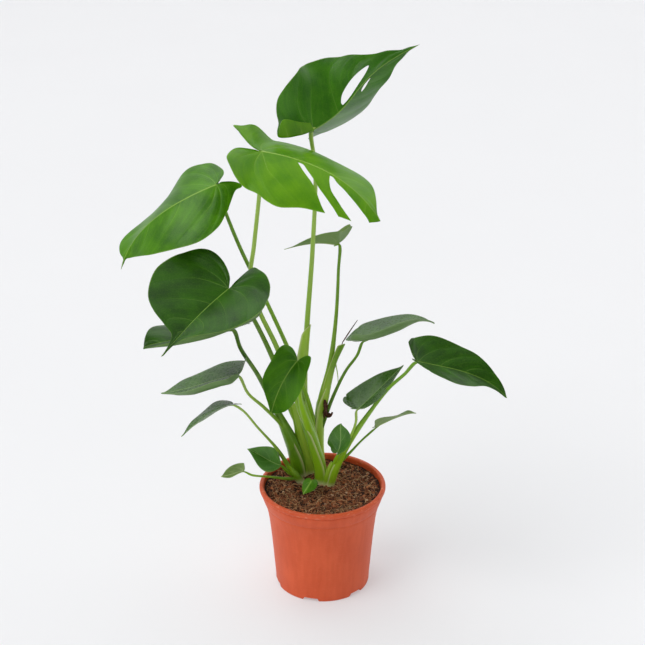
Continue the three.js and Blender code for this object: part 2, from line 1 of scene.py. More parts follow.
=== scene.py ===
# %% [markdown]
# # A young monstera in a nursery pot
# The pot, the soil, seventeen heart-shaped leaves and their stalks stand in a fixed frame that comes
# from the CAD model. Each visible piece is made again here as a finer mesh in the same place, and gets
# its own finish. The plant's sizes are written in millimetres, as in the CAD model, and MM turns them
# into Blender's metres.

# %% Load the frame
import math

import bmesh
import bpy
import numpy as np
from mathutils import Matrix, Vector
from mathutils.geometry import delaunay_2d_cdt


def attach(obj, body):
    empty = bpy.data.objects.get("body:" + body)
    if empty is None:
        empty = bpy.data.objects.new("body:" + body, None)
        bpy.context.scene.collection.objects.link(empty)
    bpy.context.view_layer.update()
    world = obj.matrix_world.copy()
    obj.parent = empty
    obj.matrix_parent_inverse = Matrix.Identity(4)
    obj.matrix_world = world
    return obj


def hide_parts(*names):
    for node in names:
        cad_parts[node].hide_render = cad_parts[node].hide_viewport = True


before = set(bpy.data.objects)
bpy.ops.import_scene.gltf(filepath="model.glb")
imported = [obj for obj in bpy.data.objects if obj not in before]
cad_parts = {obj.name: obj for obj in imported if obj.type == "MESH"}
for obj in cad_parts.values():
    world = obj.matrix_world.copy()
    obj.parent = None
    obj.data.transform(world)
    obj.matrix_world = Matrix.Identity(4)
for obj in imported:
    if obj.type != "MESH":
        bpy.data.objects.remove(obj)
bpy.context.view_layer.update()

MM = 0.001
scene = bpy.context.scene

# %% [markdown]
# ## Camera
# The photograph was taken with a long lens from a little above the plant. The lens, the pitch and the
# distance follow from the ellipses of the pot's rim, soil and foot, so they are set as real sizes and the
# camera is placed with a little trigonometry. Nothing is shifted, and depth of field stays off.

# %% Set the camera
CAMERA_PITCH = math.radians(25.38)
CAMERA_DISTANCE = 2.313
CAMERA_TARGET = Vector((0, 0, 0.3878))
LENS_MM = 100
SENSOR_MM = 36

camera_data = bpy.data.cameras.new("photo_camera")
camera_data.lens = LENS_MM
camera_data.sensor_width = SENSOR_MM
camera = bpy.data.objects.new("photo_camera", camera_data)
camera_back = Vector((0, -math.cos(CAMERA_PITCH), math.sin(CAMERA_PITCH)))
camera.location = CAMERA_TARGET + CAMERA_DISTANCE * camera_back
camera.rotation_euler = (math.pi / 2 - CAMERA_PITCH, 0, 0)
scene.collection.objects.link(camera)
scene.camera = camera
print("camera at", [round(value, 3) for value in camera.location])

# %% [markdown]
# ## Meshes from numbers
# Almost every piece of a plant is a sheet or a tube that follows a curve, so its points are worked out
# with numpy and handed to Blender in one go. One helper makes the object: it welds nothing and guesses
# nothing, it only sets points, faces, UV maps and materials. Edges that turn sharply are marked sharp, so
# a thin rim keeps a crisp edge while the rest is shaded smooth.

# %% A helper that makes a mesh object
SHARP_EDGE = math.radians(50)


def mesh_piece(name, points, faces, finishes, face_finish=None, uv_maps=None, smooth=True):
    """Points in millimetres. uv_maps gives one pair of numbers for each point."""
    mesh = bpy.data.meshes.new(name)
    mesh.from_pydata((np.asarray(points) * MM).tolist(), [], faces)
    for finish in finishes:
        mesh.materials.append(finish)
    if face_finish is not None:
        mesh.polygons.foreach_set("material_index", np.asarray(face_finish, np.int32))
    corners = np.empty(len(mesh.loops), np.int32)
    mesh.loops.foreach_get("vertex_index", corners)
    for map_name, pairs in (uv_maps or {}).items():
        layer = mesh.uv_layers.new(name=map_name)
        layer.data.foreach_set("uv", np.asarray(pairs, np.float32)[corners].ravel())
    if smooth:
        mesh.shade_smooth()
        mesh.set_sharp_from_angle(angle=SHARP_EDGE)
    mesh.validate()
    piece = bpy.data.objects.new(name, mesh)
    scene.collection.objects.link(piece)
    return piece


def seat(piece, slot, *nodes):
    """The piece rides on the plant's one body and stands for these CAD nodes."""
    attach(piece, "root")
    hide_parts(*nodes)


print("edges that turn more than", round(math.degrees(SHARP_EDGE)), "degrees stay crisp")

# %% [markdown]
# Round things are closed rings of points, one above the other: the floor, the pot, the soil and every
# stalk. So the points of a circle and the faces between two rings are worked out in one place.

# %% Rings of points and the faces between them
def circle(sides):
    """The angles of evenly spaced points round a circle."""
    return np.linspace(0, 2 * math.pi, sides, endpoint=False)


def ring_points(profile, sides):
    """A profile of radius and height turned about the upright axis."""
    return [(r * math.cos(t), r * math.sin(t), z) for r, z in profile for t in circle(sides)]


def between_rings(rings, sides, first=0, flip=False):
    """Four-sided faces between closed rings of points, one ring after another from point `first` on."""
    faces = []
    for start in range(first, first + (rings - 1) * sides, sides):
        for side in range(sides):
            a = start + side
            b = start + (side + 1) % sides
            faces.append([a, a + sides, b + sides, b] if flip else [a, b, b + sides, a + sides])
    return faces


print("a tube of 3 rings of 6 points has", len(between_rings(3, 6)), "faces")

# %% [markdown]
# ## Writing shaders as sums
# A procedural finish is mostly arithmetic: a mask here, a share of a colour there. Adding each Math node
# by hand hides that, so a small class wraps a socket and lets Python's own operators add the node.

# %% A socket that can be used in a sum
class Wire:
    """A socket of numbers. Sums and products with it add Math nodes."""

    def __init__(self, finish, socket):
        self.finish = finish
        self.socket = socket

    def __add__(self, other):
        return self.finish.math("ADD", self, other)

    def __sub__(self, other):
        return self.finish.math("SUBTRACT", self, other)

    def __rsub__(self, other):
        return self.finish.math("SUBTRACT", other, self)

    def __mul__(self, other):
        return self.finish.math("MULTIPLY", self, other)

    def __truediv__(self, other):
        return self.finish.math("DIVIDE", self, other)

    __radd__ = __add__
    __rmul__ = __mul__

    def fraction(self):
        return self.finish.math("FRACT", self)

    def size(self):
        return self.finish.math("ABSOLUTE", self)

    def at_least(self, other):
        return self.finish.math("MAXIMUM", self, other)

    def above(self, low, high):
        """0 below `low`, 1 above `high` and smooth between them."""
        limits = {"Value": self, "From Min": low, "From Max": high}
        return self.finish.node("ShaderNodeMapRange", {"interpolation_type": "SMOOTHSTEP"}, limits)

    def below(self, low, high):
        return 1 - self.above(low, high)


print("a wire understands + - * / and", [name for name in vars(Wire) if not name.startswith("_")])

# %% [markdown]
# The finish adds the nodes. One method makes any node: its settings come first, because they can change
# which sockets it has, and then its sockets get values or links. The other methods are short names for
# what the finishes below need. Colours go through Mix nodes, because a Math node would turn them grey.

# %% A finish that makes nodes
class Finish:
    """One material. `node` adds any node, and `done` ends the material with its shader."""

    def __init__(self, name):
        self.material = bpy.data.materials.new(name)
        self.start(self.material)

    def start(self, owner):
        owner.use_nodes = True
        self.nodes = owner.node_tree.nodes
        self.links = owner.node_tree.links
        self.nodes.clear()

    def node(self, kind, settings=None, sockets=None, output=0):
        made = self.nodes.new(kind)
        for setting, value in (settings or {}).items():
            setattr(made, setting, value)
        for key, value in (sockets or {}).items():
            self.feed(made.inputs[key], value)
        return Wire(self, made.outputs[output]) if len(made.outputs) else None

    def math(self, operation, *values):
        return self.node("ShaderNodeMath", {"operation": operation}, dict(enumerate(values)))

    def feed(self, socket, value):
        if isinstance(value, Wire):
            self.links.new(value.socket, socket)
        elif hasattr(value, "__len__") and socket.type == "RGBA":
            socket.default_value = (*value, 1)
        else:
            socket.default_value = value

    def mix(self, share, first, second):
        """The first colour with some share of the second over it."""
        settings = {"data_type": "RGBA", "clamp_factor": True}
        return self.node("ShaderNodeMix", settings, {0: share, 6: first, 7: second}, output=2)

    def place(self, stretch=(1, 1, 1)):
        """Where a point of the surface is, in millimetres, stretched along its axes."""
        here = self.node("ShaderNodeTexCoord", output="Object")
        scale = tuple(axis / MM for axis in stretch)
        return self.node("ShaderNodeVectorMath", {"operation": "MULTIPLY"}, {0: here, 1: scale})

    def axis(self, vector, letter):
        """One of a vector's three numbers."""
        return self.node("ShaderNodeSeparateXYZ", None, {0: vector}, output=letter)

    def uv(self, name):
        """The two numbers of a UV map, each as a wire."""
        pair = self.node("ShaderNodeUVMap", {"uv_map": name})
        return self.axis(pair, "X"), self.axis(pair, "Y")

    def noise(self, where, grain, detail):
        """Soft noise with lumps about `grain` millimetres across."""
        sockets = {"Vector": where, "Scale": 1 / grain, "Detail": detail}
        return self.node("ShaderNodeTexNoise", None, sockets)

    def streaks(self, across, along):
        """Noise in the flat space of a UV map, whose two wires are stretched beforehand."""
        where = self.node("ShaderNodeCombineXYZ", None, {"X": across, "Y": along})
        return self.noise(where, 1.0, detail=3)

    def bump(self, height, depth):
        """A surface normal from a height, where 1 stands `depth` millimetres proud."""
        sockets = {"Height": height, "Distance": depth * MM, "Strength": 1.0}
        return self.node("ShaderNodeBump", None, sockets)

    def shader(self, **sockets):
        names = {key.replace("_", " "): value for key, value in sockets.items()}
        return self.node("ShaderNodeBsdfPrincipled", None, names)

    def done(self, surface):
        self.node("ShaderNodeOutputMaterial", None, {"Surface": surface})
        return self.material


def srgb(red, green, blue):
    """A colour as the eye reads it, 0 to 255, in the linear numbers that a shader works with."""
    return tuple((channel / 255) ** 2.2 for channel in (red, green, blue))


print("middle grey is", round(srgb(128, 128, 128)[0], 3), "to a shader")

# %% [markdown] ## Studio The plant stands in a white studio where the floor runs into the walls, so
# no horizon shows. A wide shallow bowl does the same for every direction that the camera may look
# from. Its sizes are in metres.

# %% Make the studio's floor
FLOOR_HUB = 0.05
FLOOR_RADIUS = 5.0
WALL_BEND = 1.0
WALL_HEIGHT = 3.0
FLOOR_SIDES = 96
PAPER_GLOW = 0.33           # a paper lit from behind, so that shadows on it stay pale
PAPER_CLOUDS = 300          # millimetres across


def floor_profile():
    """The flat floor, a quarter turn upwards and the wall, as radius and height."""
    flat = [(radius, 0.0) for radius in np.linspace(FLOOR_HUB, FLOOR_RADIUS, 12)]
    turns = np.radians(np.linspace(10, 90, 9))
    bend = [(FLOOR_RADIUS + WALL_BEND * math.sin(t), WALL_BEND * (1 - math.cos(t))) for t in turns]
    return flat + bend + [(FLOOR_RADIUS + WALL_BEND, WALL_HEIGHT)]


paper = Finish("studio_paper")
paper_clouds = paper.noise(paper.place(), PAPER_CLOUDS, detail=2)
studio_paper = paper.done(paper.shader(
    Base_Color=paper.mix(paper_clouds, (0.50, 0.50, 0.505), (0.515, 0.515, 0.52)),
    Roughness=0.9, Specular_IOR_Level=0.1,
    Emission_Color=(0.97, 0.975, 1.0), Emission_Strength=PAPER_GLOW,
))
floor_rings = floor_profile()
floor_points = np.array(ring_points(floor_rings, FLOOR_SIDES)) / MM
floor_faces = [list(range(FLOOR_SIDES)), *between_rings(len(floor_rings), FLOOR_SIDES, flip=True)]
floor = mesh_piece("studio_floor", floor_points, floor_faces, [studio_paper])
print("studio floor of", len(floor.data.polygons), "faces")

# %% [markdown]
# ## Light
# The photograph has one large soft light from the upper left, a weaker one from behind on the right, and
# a bright backdrop. Waxy leaves mirror the room, so its brightness by direction matters as much as the
# lamps: leaves that lie flat mirror the bright backdrop and look grey, and leaves that face the viewer
# mirror the dim side and keep a deep green. Suns with a wide angle give soft light that falls on the whole
# floor alike. The world is a gradient from the dim front to the bright back, with one round bright patch,
# a soft lamp high up behind on the left, that gives the crisp gleams on curled margins.

# %% Set the lights
ROOM_FRONT = 0.10           # how bright the room is on the viewer's side
ROOM_BACK = 0.95
ROOM_TOP = 0.24
ROOM_WHITE = (0.98, 0.99, 1.0)
BACK_FROM = (-0.5, 0.75)    # how far back a direction leans where the bright side sets in
BACK_UP_TO = (0.45, 0.95)   # how far up it leans where the bright side ends
TOP_FROM = (0.3, 0.9)
LAMP_WAY = (-0.40, 0.42, 0.82)
LAMP_EDGE = (0.945, 0.965)      # the cosines between which the lamp's patch fades out
LAMP_STRENGTH = 2.0


def soft_sun(name, comes_from, strength, angle):
    data = bpy.data.lights.new(name, "SUN")
    data.energy = strength
    data.angle = math.radians(angle)
    light = bpy.data.objects.new(name, data)
    light.rotation_euler = (-Vector(comes_from)).to_track_quat("-Z", "Y").to_euler()
    scene.collection.objects.link(light)


soft_sun("key_light", comes_from=(-1.9, -1.1, 2.8), strength=1.75, angle=45)
soft_sun("back_light", comes_from=(1.2, 2.0, 2.2), strength=0.85, angle=80)


class Room(Finish):
    """The world's own nodes, written in the same way as a finish."""

    def __init__(self, world):
        self.start(world)


world = bpy.data.worlds.new("white_room")
room = Room(world)
way = room.node("ShaderNodeTexCoord")
depth = room.axis(way, "Y")
up = room.axis(way, "Z")
back_share = depth.above(*BACK_FROM) * up.below(*BACK_UP_TO)
lamp_way = {0: way, 1: Vector(LAMP_WAY).normalized()}
toward_lamp = room.node("ShaderNodeVectorMath", {"operation": "DOT_PRODUCT"}, lamp_way, output="Value")
wall_light = ROOM_FRONT + back_share * (ROOM_BACK - ROOM_FRONT)
top_light = up.above(*TOP_FROM) * (ROOM_TOP - ROOM_FRONT)
lamp_light = toward_lamp.above(*LAMP_EDGE) * LAMP_STRENGTH
sockets = {"Color": ROOM_WHITE, "Strength": wall_light + top_light + lamp_light}
room.node("ShaderNodeOutputWorld", None, {"Surface": room.node("ShaderNodeBackground", None, sockets)})
scene.world = world
scene.view_settings.view_transform = "Standard"
print("two soft suns in a room with a bright back")

# %% [markdown]
# ## Smooth lines
# A leaf's margin and a stalk's path are each given by a few points, and a smooth line runs through them.
# A Catmull-Rom curve does that with no handles to set. Where the points are unevenly spaced, the
# centripetal kind keeps the line from overshooting, so the stalks use it.

# %% A smooth line through points
def smooth_line(points, samples, centripetal=True):
    """Samples of a line through all the points, which may have one number each or more."""
    points = np.asarray(points, float)
    if centripetal:
        padded = np.vstack([2 * points[0] - points[1], points, 2 * points[-1] - points[-2]])
        gaps = np.linalg.norm(np.diff(padded, axis=0), axis=1) ** 0.5
    else:
        padded = np.vstack([points[0], points, points[-1]])
        gaps = np.ones(len(padded) - 1)
    place = np.linspace(0, len(points) - 1, samples)
    index = np.minimum(place.astype(int), len(points) - 2)
    share = (place - index)[:, None]
    before, start, end, after = (padded[index + step] for step in range(4))
    gap_before, gap, gap_after = (gaps[index + step][:, None] for step in range(3))
    step = end - start
    leave = (start - before) / gap_before - (end - before) / (gap_before + gap) + step / gap
    arrive = step / gap - (after - start) / (gap + gap_after) + (after - end) / gap_after
    leave = leave * gap
    arrive = arrive * gap
    curve = ((2 * start - 2 * end + leave + arrive) * share + 3 * step - 2 * leave - arrive) * share
    return (curve + leave) * share + start


def evenly(line, samples):
    """The same line with its points at equal distances."""
    run = np.concatenate([[0], np.cumsum(np.linalg.norm(np.diff(line, axis=0), axis=1))])
    want = np.linspace(0, run[-1], samples)
    return np.stack([np.interp(want, run, line[:, axis]) for axis in range(line.shape[1])], 1)


def unit(vectors):
    return vectors / np.linalg.norm(vectors, axis=-1, keepdims=True)


def smooth_step(value, low, high):
    share = np.clip((value - low) / (high - low), 0, 1)
    return share * share * (3 - 2 * share)


hill = smooth_line([(0, 0), (1, 1), (2, 0)], 5)
print("a line through (0, 0), (1, 1) and (2, 0) also passes", hill[1].round(2), "and", hill[3].round(2))

# %% [markdown]
# ## The leaves' sizes
# Each leaf is given flat and then bent. `along` is the share of the midrib from the stalk to the tip, and
# is negative in the two lobes behind the stalk, and `across` is millimetres out from the midrib. The
# midrib is a cubic curve, given by its start and three steps from there. Roll, fold and cup bend the two
# halves, lift and back bend the lobes, and the margins are the outlines of the left and the right half.
# Every leaf starts and bends as in the CAD model, apart from the lobes of the back leaf. Some outlines
# follow the photograph more closely than the CAD model does, by a few millimetres, and `curl` turns up
# the outer part of a half, in degrees.

# %% The leaves
HEART_LOBE = 0.25           # how far the plain heart's lobes reach back, as a share of its midrib
HEART = [
    (0, 0), (-0.13, 0.09), (-0.225, 0.28), (-0.25, 0.52), (-0.16, 0.80), (0.03, 0.97), (0.22, 1),
    (0.46, 0.88), (0.67, 0.60), (0.83, 0.28), (0.92, 0.10), (1, 0),
]

LEAVES = {
    "top": dict(
        at=(-12, 54, 630), midrib=[(67, 50, 21), (40, 22, 60), (136, 73, 90)],
        roll=(67, 40), fold=(-5, -65), cup=(4, -22), lift=(-25, 20), back=-6, width=(73, 76), lobe=0.2,
        margins=[
            [(0, 0), (-0.08, 2), (-0.13, 5), (-0.19, 10), (-0.235, 17), (-0.21, 25), (-0.17, 32),
             (-0.142, 44), (-0.104, 55), (-0.055, 62), (0.028, 70), (0.188, 74.4), (0.349, 73.3),
             (0.432, 70), (0.534, 60), (0.607, 47), (0.668, 39), (0.73, 27.4), (0.79, 19), (0.86, 13.5),
             (0.92, 5.5), (0.96, 4), (1, 0)],
            [(0, 0), (0, 9), (0, 22), (0.03, 36), (0.10, 47), (0.16, 58), (0.26, 72), (0.34, 77),
             (0.43, 68), (0.56, 52), (0.68, 38), (0.79, 27), (0.86, 13), (0.91, 8), (0.95, 3), (1, 0)],
        ],
        windows=[
            (1, [(0.29, 3), (0.30, 7), (0.36, 12), (0.45, 14.5), (0.55, 15.5), (0.64, 14.5), (0.71, 12),
                 (0.66, 7.5), (0.58, 5), (0.46, 3.2), (0.36, 2.6)]),
            (-1, [(0.51, 10), (0.52, 6), (0.58, 2.8), (0.66, 2.4), (0.63, 5.5), (0.57, 9)]),
        ],
    ),
    "arching": dict(
        at=(-74, -20, 629), midrib=[(75, -17, -7), (117, -31, -33), (144, -59, -68)],
        roll=(5, 0), fold=(-7, -16), cup=(-17, -19), lift=(24, 25), back=13, width=(73, 73), lobe=0.2,
        margins=[
            [(0, 0), (-0.10, 7), (-0.18, 16), (-0.24, 25), (-0.29, 30), (-0.285, 33), (-0.23, 39),
             (-0.18, 48), (-0.10, 62), (0, 74), (0.16, 84),
             (0.34, 84), (0.54, 72), (0.68, 50), (0.80, 26), (0.91, 7), (1, 0)],
            [(0, 0), (-0.10, 3), (-0.17, 10), (-0.20, 26), (-0.19, 43), (-0.09, 57), (0.05, 66),
             (0.14, 74), (0.25, 76), (0.42, 64), (0.60, 55), (0.80, 40), (0.93, 26), (0.98, 9), (1, 0)],
        ],
        windows=[
            (-1, [(0.22, 4), (0.29, 16), (0.40, 29), (0.47, 38), (0.57, 48), (0.70, 55), (0.76, 60),
                  (0.86, 48), (0.70, 41), (0.59, 37), (0.47, 30), (0.40, 23), (0.31, 12), (0.26, 4.5)]),
            (-1, [(0.46, 3), (0.49, 13), (0.55, 23), (0.66, 29), (0.76, 32), (0.88, 33), (0.99, 34),
                  (1.02, 18), (0.95, 13), (0.83, 13), (0.70, 11.5), (0.61, 9), (0.54, 7), (0.49, 3)]),
        ],
    ),
    "long_left": dict(
        at=(-133, 10, 574), midrib=[(-68, -27, -19), (-113, 15, -72), (-123, -14, -110)],
        roll=(-17, -13), fold=(-19, -8), cup=(-22, -10), lift=(-3, 5), back=-19, width=(59, 70),
        lobe=0.12,
        margins=[
            [(0, 0), (-0.11, 0.8), (-0.20, 3.5), (-0.20, 8), (-0.146, 12.6), (-0.074, 27), (0.008, 38.4),
             (0.095, 53.7), (0.233, 61.3), (0.40, 55), (0.62, 40), (0.76, 23), (0.86, 8), (0.895, 2.2),
             (0.95, 1.2), (1, 0)],
            [(0, 0), (-0.08, 12), (-0.11, 26), (-0.10, 42), (-0.06, 58), (0.03, 69), (0.17, 75),
             (0.33, 75), (0.48, 62), (0.66, 44), (0.80, 30), (0.87, 13), (0.90, 2.6), (0.95, 1.2), (1, 0)],
        ],
    ),
    "heart": dict(
        at=(-116, -70, 467), midrib=[(-35, -45, -13), (-41, -63, -15), (-75, -121, -33)],
        roll=(-4, -9), fold=(18, 17), cup=(-17, 1), lift=(16, 8), back=13, width=(71, 82), lobe=0.23,
        margins=[
            [(0, 0), (-0.12, 0.4), (-0.22, 2), (-0.288, 10), (-0.252, 27.5), (-0.188, 47), (-0.119, 59),
             (-0.056, 63.6), (0.152, 73), (0.37, 66), (0.58, 53), (0.70, 36), (0.78, 14), (0.88, 3),
             (1, 0)],
            [(0, 0), (-0.11, 11), (-0.20, 30), (-0.23, 48), (-0.18, 63), (-0.04, 78), (0.12, 84),
             (0.30, 82), (0.56, 65), (0.69, 46), (0.76, 24), (0.80, 9), (0.89, 3), (1, 0)],
        ],
    ),
    "under_heart": dict(
        at=(-115, -20, 389), midrib=[(-40, -23, -2), (-101, -58, 9), (-109, -60, 1)],
        roll=(15, -12), fold=(14, 11), cup=(3, -21), lift=(31, -9), back=-15, width=(61, 58), lobe=0.31,
        curl=(70, 0),
    ),
    "mid_left": dict(
        at=(-109, -35, 330), midrib=[(-34, 8, -10), (-72, 12, -32), (-102, 18, -36)],
        roll=(-2, -8), fold=(9, 8), cup=(-5, -13), lift=(4, 17), back=11, width=(46, 40), lobe=0.08,
        curl=(105, 0),
    ),
    "narrow_left": dict(
        at=(-115, -50, 295), midrib=[(-20, -10, 2), (-46, -17, -16), (-66, -30, -31)],
        roll=(12, 15), fold=(16, 2), cup=(-1, -7), lift=(-4, 3), back=-10, width=(29, 31), lobe=0.03,
    ),
    "low_left": dict(
        at=(-57, 0, 176), midrib=[(-12, 16, -6), (-31, 18, 9), (-45, 25, 11)],
        roll=(-41, -36), fold=(27, 42), cup=(12, 6), lift=(1, 19), back=16, width=(22, 22), lobe=0.16,
    ),
    "rim_left": dict(
        at=(-106, 0, 167), midrib=[(-12, 3, -5), (-24, -2, -8), (-31, 1, -9)],
        roll=(-8, -21), fold=(19, 25), cup=(17, 2), lift=(5, 11), back=17, width=(13, 13), lobe=0.1,
    ),
    "sprout": dict(
        at=(-15, -14, 160), midrib=[(-3, -9, -2), (-8, -13, -7), (-11, -18, -11)],
        roll=(-8, -10), fold=(-7, -7), cup=(-9, -11), lift=(0, 0), back=0, width=(10, 10), lobe=0.21,
    ),
    "front": dict(
        at=(-32, -50, 357), midrib=[(-25, -7, -28), (-32, -27, -54), (-33, -38, -54)],
        roll=(-28, -40), fold=(9, 21), cup=(6, 6), lift=(2, 8), back=15, width=(30, 29), lobe=0.18,
        margins=[
            [(0, 0), (-0.04, 1), (-0.10, 3), (-0.188, 8), (-0.224, 15), (-0.185, 19), (-0.044, 25),
             (0.09, 30.5), (0.338, 27.6), (0.574, 23.4), (0.76, 17.8), (0.87, 11), (0.95, 4), (1, 0)],
            [(0, 0), (-0.055, 3.8), (-0.10, 8.3), (-0.158, 17), (-0.112, 25), (0.026, 29), (0.17, 27),
             (0.334, 26.8), (0.437, 24.8), (0.571, 18.5), (0.747, 11.3), (0.88, 6), (0.96, 2.5), (1, 0)],
        ],
    ),
    "upper_right": dict(
        at=(53, 30, 347), midrib=[(30, 4, 4), (70, 33, 25), (96, 29, 11)],
        roll=(-16, -13), fold=(13, 14), cup=(7, -12), lift=(-9, 10), back=2, width=(41, 46), lobe=0.2,
        curl=(0, 165),
    ),
    "far_right": dict(
        at=(121, -40, 352), midrib=[(29, 7, -13), (85, -1, -11), (116, -12, -47)],
        roll=(3, 19), fold=(23, 15), cup=(1, -1), lift=(8, 4), back=16, width=(44, 46), lobe=0.13,
        margins=[
            [(0, 0), (-0.07, 9), (-0.11, 18), (-0.13, 25), (-0.035, 37.5), (0.11, 44), (0.226, 44.3),
             (0.339, 40.7), (0.469, 35.7), (0.577, 31.5), (0.672, 24.6), (0.784, 15.3), (0.871, 10),
             (0.943, 5), (1, 0)],
            [(0, 0), (-0.07, 4), (-0.12, 13), (-0.13, 24), (-0.08, 37), (0.03, 44.6), (0.22, 46),
             (0.46, 41.5), (0.635, 31), (0.755, 16), (0.85, 8), (0.92, 4), (1, 0)],
        ],
    ),
    "mid_right": dict(
        at=(45, -20, 272), midrib=[(6, 2, -1), (41, 23, 32), (62, 41, 44)],
        roll=(-18, -11), fold=(19, 8), cup=(13, 7), lift=(8, 0), back=7, width=(33, 34), lobe=0.17,
    ),
    "short_right": dict(
        at=(21, -10, 202), midrib=[(6, 5, 11), (1, 14, 31), (4, 17, 34)],
        roll=(-15, -8), fold=(10, 21), cup=(0, 5), lift=(0, 8), back=5, width=(18, 18), lobe=0.12,
    ),
    "curled_right": dict(
        at=(71, 20, 223), midrib=[(14, 5, 6), (41, -7, 27), (54, -5, 24)],
        roll=(-40, -5), fold=(16, 14), cup=(-15, 1), lift=(0, 0), back=17, width=(22, 21), lobe=0.03,
    ),
    "back": dict(
        at=(21, 78, 466), midrib=[(-10, -6, -3), (-16, -4, 10), (-71, -14, -3)],
        roll=(25, 18), fold=(31, 22), cup=(4, 0), lift=(12, 25), back=45, width=(32, 31), lobe=0.44,
        margins=[
            [(0, 0), (-0.14, 3), (-0.30, 6), (-0.44, 7), (-0.36, 13), (-0.20, 19), (0, 27), (0.22, width),
             (0.46, 28), (0.67, 19), (0.83, 9), (0.92, 3), (1, 0)]
            for width in (32, 31)
        ],
    ),
}
print(len(LEAVES), "leaves")

# %% [markdown]
# ## Where a flat point of a leaf lies
# The blade's two halves leave the midrib at their fold angle and bend on by their cup angle, so each
# cross-section is an arc. The lobes carry the midrib's line on behind the stalk, bent by `back`. Because
# the bend is a formula, the same function serves the mesh, the windows and the way the stalk joins.

# %% Bend a flat point into space
UP = np.array([0.0, 0.0, 1.0])
LEAST_BEND = 1e-7           # a bend is never quite zero, so that it can divide
LEAST_LOBE = 0.05


def steady(bend):
    return bend if abs(bend) > LEAST_BEND else LEAST_BEND


def half_of(side):
    """Pairs of numbers give the left half's first. side is 1 for the left half and -1 for the right."""
    return 0 if side > 0 else 1


def on_blade(leaf, side, along, across):
    """The left half is the one on the left of the midrib, looking to the tip."""
    along = np.asarray(along, float)
    across = np.asarray(across, float)[..., None]
    half = half_of(side)
    p0 = np.array(leaf["at"], float)
    p1, p2, p3 = (p0 + np.array(step, float) for step in leaf["midrib"])
    length = np.linalg.norm(p3 - p0)
    lobe = max(leaf["lobe"], LEAST_LOBE)
    t = np.clip(along, 0, 1)[..., None]
    point = (1 - t) ** 3 * p0 + 3 * (1 - t) ** 2 * t * p1 + 3 * (1 - t) * t ** 2 * p2 + t ** 3 * p3
    heading = unit((1 - t) ** 2 * (p1 - p0) + 2 * (1 - t) * t * (p2 - p1) + t ** 2 * (p3 - p2))
    normal = unit(UP - heading * heading[..., 2:])
    left = np.cross(normal, heading)
    behind = np.clip(-along, 0, None)[..., None] * length
    bend = steady(math.radians(leaf["back"]) / (lobe * length))
    point = point - heading * np.sin(bend * behind) / bend + normal * (1 - np.cos(bend * behind)) / bend
    normal = normal * np.cos(bend * behind) + heading * np.sin(bend * behind)
    roll = np.radians(leaf["roll"][0] + (leaf["roll"][1] - leaf["roll"][0]) * t)
    left, normal = (
        left * np.cos(roll) + normal * np.sin(roll),
        normal * np.cos(roll) - left * np.sin(roll),
    )
    fold = np.radians(leaf["fold"][half] + leaf["lift"][half] * smooth_step(-along, 0, lobe)[..., None])
    cup = steady(math.radians(leaf["cup"][half]) / leaf["width"][half])
    out = (np.sin(fold + cup * across) - np.sin(fold)) / cup
    rise = (np.cos(fold) - np.cos(fold + cup * across)) / cup
    return point + left * side * out + normal * rise


def blade_length(leaf):
    return float(np.linalg.norm(leaf["midrib"][2]))


print("the top leaf's tip is at", on_blade(LEAVES["top"], 1, 1.0, 0.0).round(1), "mm")

# %% [markdown]
# ## A leaf blade
# A real blade is a sheet under a millimetre thick, thinner at its margin, puffed a little between its
# side veins and raised along the rib underneath. A grid whose rows follow the side veins makes that easy:
# the first rows fan out from the stalk into the lobes and the rest leave the midrib one after another.
# Both halves share their points of the midrib, so the blade closes there.

# %% Lay out a blade's rows
MARGIN_SAMPLES = 900
MIDRIB_SAMPLES = 800
FAN_END = 0.2               # rows whose margin point lies behind this share start at the stalk
CROWDING = 1.25             # above 1, the columns lie closer together near the midrib


def margin_line(leaf, side):
    """The outline of one half as a smooth line of along and across."""
    half = half_of(side)
    if "margins" in leaf:
        corners = np.array(leaf["margins"][half], float)
    else:
        corners = np.array(HEART, float)
        corners[corners[:, 0] < 0, 0] *= leaf["lobe"] / HEART_LOBE
        corners[:, 1] *= leaf["width"][half]
    return smooth_line(corners, MARGIN_SAMPLES, centripetal=False)


def laid_out(leaf, side, fan_rows):
    """Rows of one half: where each starts on the midrib, and its margin point."""
    length = blade_length(leaf)
    margin = margin_line(leaf, side)
    margin[:, 1] = np.maximum(margin[:, 1], 0)
    fan_last = np.nonzero(margin[:, 0] < FAN_END)[0].max() + 1
    flat = margin * [length, 1]
    fan = evenly(flat[: fan_last + 1], fan_rows + 1)[1:] / [length, 1]
    body = margin[fan_last:]
    starts = (body[:, 0] - FAN_END) / (1 - FAN_END)
    return fan, np.maximum.accumulate(starts), body


def margin_at(starts, body_starts, body):
    return np.stack([np.interp(starts, body_starts, body[:, axis]) for axis in range(2)], 1)


def steps_along(flat, length):
    """The distances between neighbours of a row of flat points, in millimetres."""
    return np.linalg.norm(np.diff(flat * [length, 1], axis=0), axis=1)


def shared_starts(halves, length, body_rows):
    """Both halves use the same points of the midrib, spaced so that neither margin has long steps."""
    fine = np.linspace(0, 1, MIDRIB_SAMPLES)
    run = np.zeros(len(fine))
    for _, starts, body in halves:
        run[1:] += np.cumsum(steps_along(margin_at(fine, starts, body), length))
    return np.interp(np.linspace(0, run[-1], body_rows + 1)[1:], run, fine)


